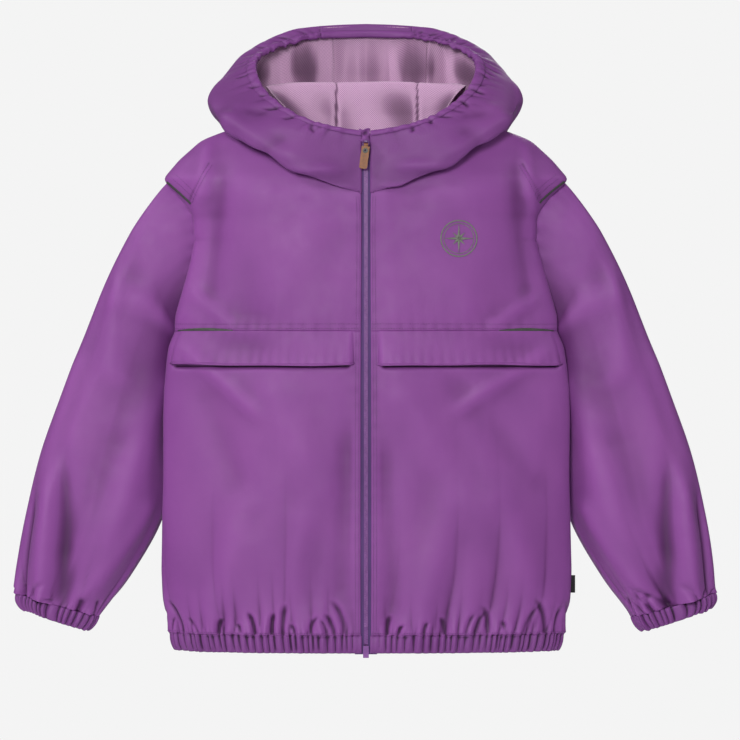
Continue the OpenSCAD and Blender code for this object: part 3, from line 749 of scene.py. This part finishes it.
# The sleeve's outer and inner edges as (x, z) from armhole to cuff, its middle line from front to back
# and half its depth.
SLEEVE_OUT = np.array([[247, -60], [280, -116], [309, -176], [337, -246], [365, -316], [391, -386],
                       [409, -460], [418, -518], [419, -552]], float)
SLEEVE_IN = np.array([[214, -238], [219, -262], [224, -288], [229, -320], [234, -362], [239, -412],
                      [248, -464], [283, -528], [321, -580]], float)
SLEEVE_Y = [16, 22, 25, 26, 26, 24, 20, 15, 12]
SLEEVE_D = [22, 28, 34, 38, 40, 40, 37, 30, 24]
SLEEVE_LONG = 470.0
CUFF_ROUND = 236.0
HOLE_MIDDLE, HOLE_REACH = -151, 95  # the armhole's middle height and its reach up and down


def plain_sleeve(angle, t):
    """The sleeve: angle 0 at the outer edge, 90 in front, 180 at the inner edge; t from armhole to cuff."""
    a = np.radians(angle)
    o, n = curve(SLEEVE_OUT, t), curve(SLEEVE_IN, t)
    m, half = (o + n) / 2, (o - n) / 2
    c = np.cos(a)
    s = np.sign(c) * np.abs(c) ** ROUND
    y = curve(SLEEVE_Y, t) - 18 * s * (1 - smooth(t * 1.2 - 0.2)) - curve(SLEEVE_D, t) * np.sin(a)
    ring = np.stack([m[..., 0] + half[..., 0] * s, y, m[..., 1] + half[..., 1] * s], -1)
    z = HOLE_MIDDLE + HOLE_REACH * np.cos(a)
    hole_y = 11 - 18 * np.sin(a)
    x = body_w(z) * np.clip(1 - np.abs(hole_y / 52) ** 2.4, 0, 1) ** (1 / 2.4) - 3.5
    hole = np.stack([x + 0 * t, hole_y + 0 * t, z + 0 * t], -1)
    return mix(hole, ring, smooth(t / 0.13)[..., None])


sleeve_waves = waves(23, 7, 70, 150, 0.3)
sleeve_pleats = {side: [gathers(71 + side, 4, CUFF_ROUND - 4, 6.6, 9, 2.6),
                        gathers(151 + side, 5, CUFF_ROUND - 5, 17, 32, 4.2),
                        gathers(251 + side, 8, CUFF_ROUND - 8, 44, 84, 6.0)] for side in (1, -1)}
cuff_pleats = {side: [gathers(71 + side, 4, CUFF_ROUND - 4, 6.6, 400, 5.0)] for side in (1, -1)}
# Long folds of the sleeve: place round it and along it at both ends, width and height.
sleeve_strokes = [(88, 320, 71, 490, 8, 8.0), (79, 300, 50, 500, 6, -5.6), (102, 340, 92, 500, 5, -5.0),
                  (34, 150, 58, 400, 13, 4.6), (78, 60, 88, 310, 14, -4.6), (52, 250, 66, 400, 10, -3.6),
                  (20, 40, 92, 130, 12, 3.4), (96, 100, 66, 200, 12, 3.0), (104, 190, 96, 330, 11, 3.6),
                  (26, 330, 44, 450, 9, 4.0), (150, 80, 190, 400, 18, 4.4)]


def sleeve_relief(side, angle, t):
    s = (180 - angle) / 360 * CUFF_ROUND
    run = t * SLEEVE_LONG
    calm = smooth(s / 12) * smooth((CUFF_ROUND - s) / 12)
    up = (1 - t) * SLEEVE_LONG
    lift = (gather_field(s, up, sleeve_pleats[side]) - 4.0 * np.exp(-((up / 60) ** 2))) * calm
    lift += hook_field(s, up, 351 + side, 6, CUFF_ROUND - 6, 16, 46, 5.2) * calm
    broad = wave_field(s * 2.1, run * 0.5, sleeve_waves, 3.6)
    lift += broad * smooth(run / 60) * smooth((1 - t) * 9) * calm
    lift += strokes_field(s, run, sleeve_strokes) * calm
    lift += pucker(s * 1.6, run - 8, 12, 9, 0.5, 3.3 + side) * calm
    # The sleeve tucks in at the armhole seam, except over the shoulder.
    lift -= 6.0 * np.exp(-((run / 34) ** 2)) * smooth((np.abs(angle) - 40) / 50)
    lift += groove(SLEEVE_LONG * (1 - t), 1.8, 0.4)
    return lift


def on_sleeve(side, angle, t):
    angle, t = np.broadcast_arrays(np.asarray(angle, float), np.asarray(t, float))
    p = plain_sleeve(angle, t)
    around = plain_sleeve(angle - 0.5, t) - plain_sleeve(angle + 0.5, t)
    up = plain_sleeve(angle, np.clip(t - 0.002, 0, 1)) - plain_sleeve(angle, np.clip(t + 0.002, 0, 1))
    p = p + unit(np.cross(around, up)) * sleeve_relief(side, angle, t)[..., None]
    return p * np.array([side, 1, 1])


def plain_cuff(angle, t):
    a = np.radians(angle)
    o = curve([[419, -552], [419, -561], [414, -571]], t)
    n = curve([[321, -580], [327, -590], [334, -598]], t)
    m, half = (o + n) / 2, (o - n) / 2
    c = np.cos(a)
    s = np.sign(c) * np.abs(c) ** ROUND
    y = SLEEVE_Y[-1] - SLEEVE_D[-1] * np.sin(a) + 0 * t
    return np.stack([m[..., 0] + half[..., 0] * s, y, m[..., 1] + half[..., 1] * s], -1)


def cuff_grid(side, lift=0.0, gathered=1.0):
    """The cuff, made as the hem casing is; gathered is 0 for the smooth layers inside it."""
    q = np.linspace(0, 1, 15)[:, None]
    angle = np.linspace(180, -180, 250)[None, :]
    turn = np.clip(q / TURN_UNDER, 0, 1)
    up = np.clip((q - TURN_UNDER) / (1 - TURN_UNDER), 0, 1)
    t = np.where(q < TURN_UNDER, 1 - 0.3 * (1 - turn) ** 2, 1 - up) + 0 * angle
    under = -4.0 * (1 - turn) ** 0.6 - 1.0 * turn
    tuck = np.where(q < TURN_UNDER, under, -1.0 * (1 - up) ** 4 + 1.2 * np.sin(math.pi * up))
    p = plain_cuff(angle + 0 * t, t)
    n = normals(plain_cuff(angle, 1 - q + 0 * angle))
    n *= np.sign((n * (p - p.mean(axis=1, keepdims=True))).sum(-1).mean())
    s = (180 - angle) / 360 * CUFF_ROUND
    calm = smooth(s / 8) * smooth((CUFF_ROUND - s) / 8)
    pleats = gather_field(s, 0 * s, cuff_pleats[side]) + 0.25 * gather_field(s, 0 * s, sleeve_pleats[side])
    high = lift + tuck + gathered * calm * (pleats - 3.6) + groove(t * 20, 1.8, 0.4)
    p = (p + n * high[..., None]) * np.array([side, 1, 1])
    return p[:, ::side]


for word, side in SIDES:
    arm = "arm_" + word
    t = 1 - np.linspace(0, 1, 190)[:, None] ** 1.15
    angle = np.linspace(180, -180, 170)[None, :]
    points = on_sleeve(side, angle, t)
    # The upper sleeve's inner side lies in the shelter of the body, so painted shade darkens it.
    painted_shelter_shade = 0.75 * smooth((angle - 70) / 50) * smooth((0.66 - t) / 0.3)
    sleeve = grid_object("shell_sleeve_" + word, points[:, ::side], painted_shelter_shade=painted_shelter_shade[:, ::side])
    bend = ("jacket", arm, (side * 0.312, 0, 0), (side * 0.3904, 0, -0.02744))
    finish_piece(sleeve, NYLON, None, ["sleeve_" + word], bend)
    cuff = grid_object("cuff_band_" + word, cuff_grid(side), shade=2.0)
    finish_piece(cuff, SHADED_NYLON, arm, ["cuff_" + word])
    # The elastic and the wall behind it leave out the rows of the turned-under edge.
    stretch = grid_object("cuff_stretch_" + word, cuff_grid(side, -6.8, 0.0)[4:13])
    finish_piece(stretch, ELASTIC, arm, ["cuff_elastic_" + word])
    wall = grid_object("cuff_wall_" + word, cuff_grid(side, -8.4, 0.0)[2:15], thick=THIN)
    finish_piece(wall, SHADED_NYLON, arm)

# ---- Hood ------------------------------------------------------------------------------------

# Rings round the hood from neck to face edge: half widths, then places front to back and heights at even
# turns from the back's middle to the zip.
RING_HALF = [NECK_HALF, 165, 188, 174, 134]
RING_Y = [None, [80, 74, 52, 8, -40, -58, -52], [120, 106, 72, 12, -40, -64, -52],
          [82, 78, 58, 20, -24, -56, -52], [74, 68, 50, 18, -20, -48, -52]]
RING_Z = [NECK_Z, [-66, -58, -22, 14, -12, -47, -71], [0, 8, 26, 38, 12, -26, -50],
          [131, 126, 93, 66, 32, 0, -24], [126, 122, 106, 83, 44, 12, -2]]
RIM_LONG = 430.0  # length of the face edge from the back's middle to the zip
HOOD_TALL = 170.0


def plain_hood(a, v):
    """The hood lying back: a is 0 at the back's middle and 180 at the zip, v from neck to face edge."""
    a, v = np.broadcast_arrays(np.asarray(a, float), np.asarray(v, float))
    turn = np.clip(np.abs(a), 0, 180)
    part = turn / 180
    zs = [curve(k, part) for k in RING_Z]
    ys = [neck_y(turn, zs[0])] + [curve(k, part) for k in RING_Y[1:]]
    x = ring_x(curve(RING_HALF, v), turn)
    return np.stack([x * np.sign(a + 1e-12), curve_across(ys, v), curve_across(zs, v)], -1)


rim_pleats = {side: [gathers(91 + side, 30, RIM_LONG - 26, 8.5, 7, 1.5),
                     gathers(191 + side, 34, RIM_LONG - 30, 19, 20, 2.2)] for side in (1, -1)}
hood_waves = waves(41, 7, 70, 150, 0.7)
# Folds of the hood's sides: place round the face edge and height up at both ends, width and height.
hood_strokes = {
    1: [(250, 40, 300, 128, 13, 5.0), (300, 16, 340, 120, 13, -4.6), (322, 24, 400, 88, 10, 4.6),
        (200, 20, 214, 120, 15, 3.6), (376, 14, 424, 56, 8, 3.6), (356, 8, 410, 30, 7, -3.2),
        (150, 30, 140, 140, 16, 3.0), (262, 86, 330, 140, 11, -3.2), (206, 10, 262, 110, 30, -6.0)],
    -1: [(262, 30, 296, 130, 13, 5.0), (312, 14, 356, 116, 12, -4.6), (334, 24, 408, 84, 10, 4.4),
         (206, 30, 222, 130, 15, 3.6), (386, 12, 424, 50, 8, 3.6), (350, 8, 412, 34, 7, -3.2),
         (140, 30, 150, 140, 16, 3.0), (256, 84, 322, 142, 11, -3.4)],
}


def hood_relief(side, a, v):
    """How far the hood's cloth stands off its plain shape."""
    s = np.abs(a) / 180 * RIM_LONG
    run = v * HOOD_TALL
    beside = smooth((s - 34) / 30)
    lift = gather_field(s, (1 - v) * 150.0, rim_pleats[side]) * beside
    lift += hook_field(s, (1 - v) * 150.0, 391 + side, 60, RIM_LONG - 40, 19, 30, 2.6) * beside
    quiet = smooth(v / 0.14) * smooth((180 - np.abs(a)) / 14) * smooth((1.02 - v) / 0.2)
    broad = wave_field(s * 0.9, run, hood_waves, 2.0) * smooth(s / 60) * smooth(abs(v - 0.42) / 0.2 + 0.1)
    lift += broad * quiet
    lift += 0.75 * strokes_field(s, run, hood_strokes[side]) * quiet
    lift += pucker(s, run - 3, 11, 8, 0.7, 5.5 + side)
    return lift


def on_hood(side, a, v, lift=0.0, relief=1.0, folds=None):
    """Points of the folded hood; folds is the side whose folds are used, where another than side."""
    a, v = np.broadcast_arrays(np.asarray(a, float), np.asarray(v, float))
    p = plain_hood(a, v)
    around = plain_hood(np.minimum(a + 0.7, 180), v) - plain_hood(np.minimum(a - 0.7, 180), v)
    up = plain_hood(a, np.clip(v + 0.006, 0, 1)) - plain_hood(a, np.clip(v - 0.006, 0, 1))
    p = p + unit(np.cross(up, around)) * (lift + relief * hood_relief(folds or side, a, v))[..., None]
    return p * np.array([side, 1, 1])


def hood_grid(side, from_x, rows=100, cols=190):
    """A side of the hood's shell, from its seam at from_x to the zip."""
    v = np.linspace(0, 1, rows)[:, None]
    u = np.linspace(0, 1, cols)[None, :]
    a0 = np.degrees(np.arcsin(from_x / curve(RING_HALF, v)))
    return on_hood(side, mix(a0, 180, u), v)[:, ::-side]


lining_waves = waves(61, 6, 40, 90, 0.5)


def lining_grid(side, from_x, to_x, rows=80, cols=120):
    """The hood's mesh lining, a little inside the shell, from one seam to another or to the zip."""
    q = np.linspace(0, 1, rows)[:, None]
    u = np.linspace(0, 1, cols)[None, :]
    half = curve(RING_HALF, mix(0.16, 0.8, q))
    a0 = np.degrees(np.arcsin(from_x / half))
    a1 = 176.0 if to_x is None else np.degrees(np.arcsin(to_x / half))
    a = mix(a0, a1, u)
    low = 0.16 + 0.14 * smooth((np.abs(a) - 90) / 40)
    high = 0.8 + 0.16 * smooth((np.abs(a) - 30) / 40)
    v = mix(low, high, q)
    lift = -2.6 - 4.4 * smooth((v - 0.12) / 0.2) * smooth((0.7 - v) / 0.2)
    inside = smooth((v - 0.25) / 0.15) * smooth((0.78 - v) / 0.14)
    lift = lift - np.abs(wave_field(a * 1.9 * side, v * 90, lining_waves, 11.0)) * inside
    return on_hood(side, a, v, lift)


HOOD_BLEND = ("jacket", "hood", (0, -0.010, 0), (0, 0.056, 0))
# The lining lies inside the shell, so the places in its blend tuple lie a little further forward.
LINING_BLEND = ("jacket", "hood", (0, -0.014, 0), (0, 0.052, 0))
SEAM_X = 55.75
for word, side in SIDES:
    lobe = grid_object("hood_side_" + word + "_shell", hood_grid(side, SEAM_X))
    finish_piece(lobe, SHADED_NYLON, None, ["hood_side_" + word], HOOD_BLEND)


def crown_grid():
    """The hood's middle strip, from wearer's left to right as seen from behind."""
    v = np.linspace(0, 1, 90)[:, None]
    x = np.linspace(SEAM_X, -SEAM_X, 46)[None, :]
    return on_hood(1, np.degrees(np.arcsin(x / curve(RING_HALF, v))), v)


crown = grid_object("hood_crown_shell", crown_grid())
finish_piece(crown, SHADED_NYLON, None, ["hood_centre_panel", "hood_neck_strip"], HOOD_BLEND)

# The mesh lining's own middle strip is set a little to the wearer's left.
LINING_RIGHT, LINING_LEFT = -40.0, 76.0
for word, side, seam in (("left", 1, LINING_LEFT), ("right", -1, -LINING_RIGHT)):
    lining = grid_object("hood_mesh_" + word, lining_grid(side, seam, None)[:, ::-side], shade=3.0)
    finish_piece(lining, MESH, None, ["hood_lining_" + word], LINING_BLEND)
lining = grid_object("hood_mesh_crown", lining_grid(1, LINING_LEFT, LINING_RIGHT, cols=60), shade=3.0)
finish_piece(lining, MESH, None, ["hood_lining_centre"], LINING_BLEND)


RIM_FROM = 24.5  # where the gathered side rims start, as a turn from the back's middle


def rim_grid(from_a, to_a, cols, side):
    """The turned edge round the face: from outside, over the edge and down inside."""
    q = np.linspace(0, 1, 22)[:, None]
    a = np.linspace(from_a, to_a, cols)[None, :]
    turn = np.abs(a)
    reach = 0.075
    outside = np.clip(q / 0.45, 0, 1)
    over = np.clip((q - 0.45) / 0.1, 0, 1)
    inside = np.clip((q - 0.55) / 0.45, 0, 1)
    v = np.clip(np.where(q < 0.45, 1 - reach + reach * outside, 1 - reach * 0.85 * inside), 0, 1)
    swell = 0.8 + 0.9 * np.sin(math.pi * outside)
    lift = np.where(q < 0.45, swell, np.where(q < 0.55, 0.8 - 5.0 * over, -4.2))
    points = on_hood(1, turn, v, lift, 0.9, side)
    below = on_hood(1, turn, np.clip(v - 0.02, 0, 1), lift, 0.9, side)
    tip = 0.012 * HOOD_TALL * np.sin(math.pi * np.clip((q - 0.4) / 0.2, 0, 1))
    points = points + unit(points - below) * tip[..., None]
    points[..., 0] *= np.sign(a + 1e-9)
    return points


for word, side in SIDES:
    rim = grid_object("hood_rim_" + word, rim_grid(side * RIM_FROM, side * 179.9, 230, side)[:, ::-side])
    finish_piece(rim, SHADED_NYLON, None, ["hood_binding_" + word], HOOD_BLEND)
rim = grid_object("hood_rim_top", rim_grid(RIM_FROM, -RIM_FROM, 60, 1))
finish_piece(rim, SHADED_NYLON, None, ["hood_binding_top"], HOOD_BLEND)

# ---- The nape, which stands up from the neck seam and folds over backwards ---------------------

FOLD_Z, FOLD_REACH = 64.0, 82.0  # height of the fold, and its end as a turn from the back's middle


def nape_points(a, v):
    turn = np.abs(a)
    z0 = curve(NECK_Z, turn / 180)
    base = np.stack([ring_x(NECK_HALF, turn) * np.sign(a), neck_y(turn, z0) + 1, z0 + 2], -1)
    ridge = np.stack([120 * np.sin(np.radians(a)) / math.sin(math.radians(FOLD_REACH)),
                      46 - 20 * (1 - np.cos(np.radians(a))),
                      FOLD_Z - 5 * (a / FOLD_REACH) ** 2 + 0.5 * np.sin(a / 9)], -1)
    layers = [base, mix(base, ridge, 0.5), ridge, ridge + [0, 13, -7], ridge + [0, 21, -40]]
    return np.stack([curve_across([k[..., i] for k in layers], v) for i in range(3)], -1)


def nape_grid():
    turns = np.linspace(-FOLD_REACH, FOLD_REACH, 120)[None, :]
    ups = np.linspace(0, 1, 60)[:, None]
    a, v = np.broadcast_arrays(turns, ups)
    points = nape_points(a, v)
    # Two seams, and a slow sway of the cloth below the fold.
    dip = sum(1.8 * np.exp(-(((points[..., 0] - seam) / 1.6) ** 2)) for seam in (-36, 62))
    below_fold = np.sin(math.pi * np.clip(v / 0.5, 0, 1))
    sway = 3.2 * np.sin(a / 10.0 + 0.5 + 5 * v) * np.sin(a / 23.0 + 1.0) * below_fold
    return points + normals(points) * (sway - dip)[..., None]


nape = grid_object("hood_nape_mesh", nape_grid(), shade=3.0)
finish_piece(nape, MESH, "jacket", ["hood_neck_fold"])


def garage_points():
    """A crumpled fold of cloth over the zip's top end."""
    x = np.linspace(-8.5, 5.0, 26)[None, :]
    z = np.linspace(-13, 1.5, 24)[:, None]
    x, z = np.broadcast_arrays(x, z)
    swell = 2.6 * np.sin(math.pi * (x + 8.5) / 13.5) * (0.6 + 0.4 * np.sin(z / 3.1))
    crumple = 1.1 * np.sin(x / 1.7 + z / 2.3) + 0.8 * np.sin(z / 1.6 - x / 3.1)
    y = -51.2 - swell - crumple * 0.7
    return np.stack([x + 0.5 * np.sin(z / 2.1), y, z + 0.8 * np.sin(x / 2.2)], -1)


garage = grid_object("zip_garage_cloth", garage_points(), thick=0.0008)
finish_piece(garage, SHADED_NYLON, "jacket", ["zip_garage"])

# ---- CAD pieces that stay --------------------------------------------------------------------


def finish_node(node, material):
    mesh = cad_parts[node].data
    mesh.materials.clear()
    mesh.materials.append(material)


for word, _ in SIDES:
    finish_node("zip_tape_" + word, TRIM)
    finish_node("zip_teeth_" + word, TEETH)
for node, look in (("neck_tape", TRIM), ("hanger_loop", TRIM), ("zip_top_stops", METAL),
                   ("zip_bottom_box", TEETH), ("zip_slider", PAINTED), ("pull_link", PAINTED),
                   ("pull_eyelet", PIPING), ("pull_tab", LEATHER), ("side_label", LABEL)):
    finish_node(node, look)

# ---- Trim that lies on the cloth ---------------------------------------------------------------


def on_front(side, x, z, lift):
    """Points of the folded front at given distances from the middle."""
    return on_body(side, hem_length(angle_at(x, z)), z, lift)


def ribbon(side, centre, across, lift=0.5):
    """A strip on the front: its middle line (x, z) and, at each point, half its width as a vector."""
    u = np.linspace(-1, 1, 5)[:, None, None]
    flat = centre[None] + u * across[None]
    points = on_front(side, flat[..., 0], flat[..., 1], lift)
    return points[:, ::side]


def joined(pieces, name):
    """One object from several."""
    with bpy.context.temp_override(active_object=pieces[0], selected_editable_objects=pieces):
        bpy.ops.object.join()
    pieces[0].name = name
    return pieces[0]


def ring_strip(radius, half):
    turn = np.linspace(0, 2 * math.pi, 97)
    way = np.stack([np.cos(turn), np.sin(turn)], -1)
    return EMBLEM + radius * way, -half * way


def star_point(turn, long, half):
    """One spindle of the compass star, from its middle out to its tip."""
    way = np.array([math.cos(turn), math.sin(turn)])
    side_way = np.array([-way[1], way[0]])
    t = np.linspace(0, 1, 12)[:, None]
    return EMBLEM + long * t * way, half * (1 - t) * side_way + 0.02 * side_way


emblem_parts = [ring_strip(EMBLEM_R - 0.75, 0.7), ring_strip(EMBLEM_R - 4.2, 0.35)]
emblem_parts += [star_point(k * math.pi / 4, 17.0 if k % 2 == 0 else 10.5, 1.9) for k in range(8)]
emblem_pieces = [grid_object("emblem_part", ribbon(1, *part), thick=0.0003) for part in emblem_parts]
emblem = joined(emblem_pieces, "emblem_print")
finish_piece(emblem, REFLECT, "jacket", ["chest_emblem"])
for word, side in SIDES:
    x = np.linspace(158, 224, 40)
    half = 0.5 + 1.3 * np.sin(math.pi * (x - x[0]) / (x[-1] - x[0]))
    centre = np.stack([x, YOKE_Z + 0.4 + half], -1)
    points = ribbon(side, centre, np.stack([0 * x, half], -1), 0.7)
    strip = grid_object("yoke_piping_" + word, points, thick=0.0005)
    finish_piece(strip, PIPING, "jacket", ["piping_yoke_" + word])
    t = np.linspace(0, 1, 24)[:, None]
    centre = mix(np.array([209.0, -85.0]), np.array([238.0, -58.5]), t)
    points = ribbon(side, centre, np.array([-0.62, 0.66]) * 1.2 + 0 * t, 0.7)
    strip = grid_object("shoulder_piping_" + word, points, thick=0.0005)
    finish_piece(strip, PIPING, "jacket", ["piping_shoulder_" + word])

# ---- Stitching -------------------------------------------------------------------------------


STITCH_PITCH, STITCH_LONG, THREAD_RADIUS = 3.2, 2.3, 0.28
CORNERS = 6  # corners of a thread's section


def stitch_corners(start, middle, end):
    """The three rings of one stitch, thinner at its ends."""
    along = unit(end - start)
    sideways = unit(np.cross(along, [0.0, 0.31, 0.95]))
    rise = np.cross(sideways, along)
    corners = []
    for where, size in ((start, 0.45), (middle, 1.0), (end, 0.45)):
        for k in range(CORNERS):
            turn = 2 * math.pi * k / CORNERS
            spoke = math.cos(turn) * sideways + math.sin(turn) * rise
            corners.append(where + THREAD_RADIUS * size * spoke)
    return corners


def stitch_faces(first):
    """The faces of one stitch whose corners are numbered from first."""
    faces = []
    for ring in (first, first + CORNERS):
        for k in range(CORNERS):
            after = (k + 1) % CORNERS
            faces.append((ring + k, ring + after, ring + CORNERS + after, ring + CORNERS + k))
    faces.append(tuple(first + k for k in range(CORNERS - 1, -1, -1)))
    faces.append(tuple(first + 2 * CORNERS + k for k in range(CORNERS)))
    return faces


def stitches(name, paths):
    """Short rounded threads along paths of points in millimetres."""
    corners, faces = [], []
    for path in paths:
        run = np.concatenate([[0], np.cumsum(np.linalg.norm(np.diff(path, axis=0), axis=1))])
        for start in np.arange(0.4, run[-1] - STITCH_LONG, STITCH_PITCH):
            places = [start + k * STITCH_LONG for k in (0, 0.5, 1)]
            three = [np.array([np.interp(place, run, path[:, i]) for i in range(3)]) for place in places]
            faces += stitch_faces(len(corners))
            corners += stitch_corners(*three)
    mesh = bpy.data.meshes.new(name)
    places = (np.array(corners) + np.array([0, BODY_Y, 0])) * MM
    mesh.from_pydata(places.tolist(), [], faces)
    mesh.polygons.foreach_set("use_smooth", np.ones(len(faces), bool))
    piece = bpy.data.objects.new(name, mesh)
    bpy.context.scene.collection.objects.link(piece)
    finish_piece(piece, THREAD, "jacket")


for word, side in SIDES:
    down = np.linspace(-78, -620, 260)
    lines = [on_body(side, gap, down, 0.25) for gap in (8.6, 12.0)]
    across = np.linspace(ZIP_SIDE, SIDE_RUN, 160)
    lines += [on_body(side, across, z, 0.25) for z in (YOKE_Z + 3.2, YOKE_Z + 8.6, HEM_TOP + 3.0)]
    # Two rows beside the piping at the shoulder's tip, then two along the shoulder seam.
    t = np.linspace(0, 1, 30)
    for gap in (3.4, 7.6):
        lines.append(on_front(side, mix(207.0, 236.0, t) - gap, mix(-83.5, -57.0, t) + gap, 0.3))
    t = np.linspace(0, 1, 40)
    for gap in (0.0, 4.0):
        lines.append(on_front(side, mix(211.0, 186.0, t) - gap, mix(-82.0, -36.0, t) - 0.4 * gap, 0.3))
    stitches("stitch_front_" + word, lines)

# ---- Light, floor and camera -------------------------------------------------------------------

bpy.context.scene.view_settings.view_transform = "Standard"
studio = bpy.data.worlds.new("studio")
bpy.context.scene.world = studio
studio.use_nodes = True
tree = studio.node_tree
backdrop = tree.nodes["Background"]
backdrop.inputs["Color"].default_value = grey(0.905)
# What lights the jacket is a dim room, brighter above than below; what shows behind it is even.
room = tree.nodes.new("ShaderNodeBackground")
direction = tree.nodes.new("ShaderNodeTexCoord")
split = tree.nodes.new("ShaderNodeSeparateXYZ")
link(tree, direction.outputs["Generated"], split.inputs[0])
height = maths(tree, "MULTIPLY_ADD", split.outputs[2], 0.5, 0.5)
sky = ramp(tree, height, [(0.0, (0.04, 0.04, 0.045, 1)), (1.0, (0.12, 0.12, 0.125, 1))])
link(tree, sky, room.inputs["Color"])
choice = tree.nodes.new("ShaderNodeMixShader")
rays = tree.nodes.new("ShaderNodeLightPath")
link(tree, rays.outputs["Is Camera Ray"], choice.inputs[0])
link(tree, room.outputs[0], choice.inputs[1])
link(tree, backdrop.outputs[0], choice.inputs[2])
link(tree, choice.outputs[0], tree.nodes["World Output"].inputs["Surface"])


def area_light(name, place, target, size, power):
    data = bpy.data.lights.new(name, "AREA")
    data.shape = "RECTANGLE"
    data.size, data.size_y = size
    data.energy = power
    lamp = bpy.data.objects.new(name, data)
    bpy.context.scene.collection.objects.link(lamp)
    lamp.location = place
    lamp.rotation_euler = (Vector(target) - Vector(place)).to_track_quat("-Z", "Y").to_euler()


area_light("front", (-0.6, -3.3, 0.7), (0, 0, -0.35), (1.0, 1.0), 74)
area_light("key", (-2.3, -1.15, 1.6), (0, 0, -0.3), (0.7, 0.7), 36)
area_light("fill", (2.3, -1.3, 1.2), (0, 0, -0.3), (0.7, 0.9), 16)
area_light("rim", (0.3, 2.2, 1.6), (0, 0, -0.3), (1.6, 1.0), 40)

FLOOR_Z, FLOOR_RADIUS, FLOOR_SIDES = -1.32, 4.0, 64
floor_mesh = bpy.data.meshes.new("floor")
turns = [2 * math.pi * k / FLOOR_SIDES for k in range(FLOOR_SIDES)]
ring = [(FLOOR_RADIUS * math.cos(turn), FLOOR_RADIUS * math.sin(turn), FLOOR_Z) for turn in turns]
floor_mesh.from_pydata(ring, [], [tuple(range(FLOOR_SIDES))])
floor = bpy.data.objects.new("floor", floor_mesh)
bpy.context.scene.collection.objects.link(floor)
floor_look, _, floor_shader = new_material("pale floor")
floor_shader.inputs["Base Color"].default_value = (0.86, 0.86, 0.87, 1)
floor_shader.inputs["Roughness"].default_value = 0.9
floor_mesh.materials.append(floor_look)

CAMERA_AWAY, VIEW_WIDE = 4.0, 0.888  # distance to the body's middle, and the width seen there
camera_data = bpy.data.cameras.new("camera")
camera_data.type = "PERSP"
camera_data.sensor_width = 36.0
camera_data.lens = camera_data.sensor_width * CAMERA_AWAY / VIEW_WIDE
camera = bpy.data.objects.new("camera", camera_data)
bpy.context.scene.collection.objects.link(camera)
camera.location = (0.0048, BODY_Y * MM - CAMERA_AWAY, -0.284)
camera.rotation_euler = (math.pi / 2, 0, 0)
bpy.context.scene.camera = camera
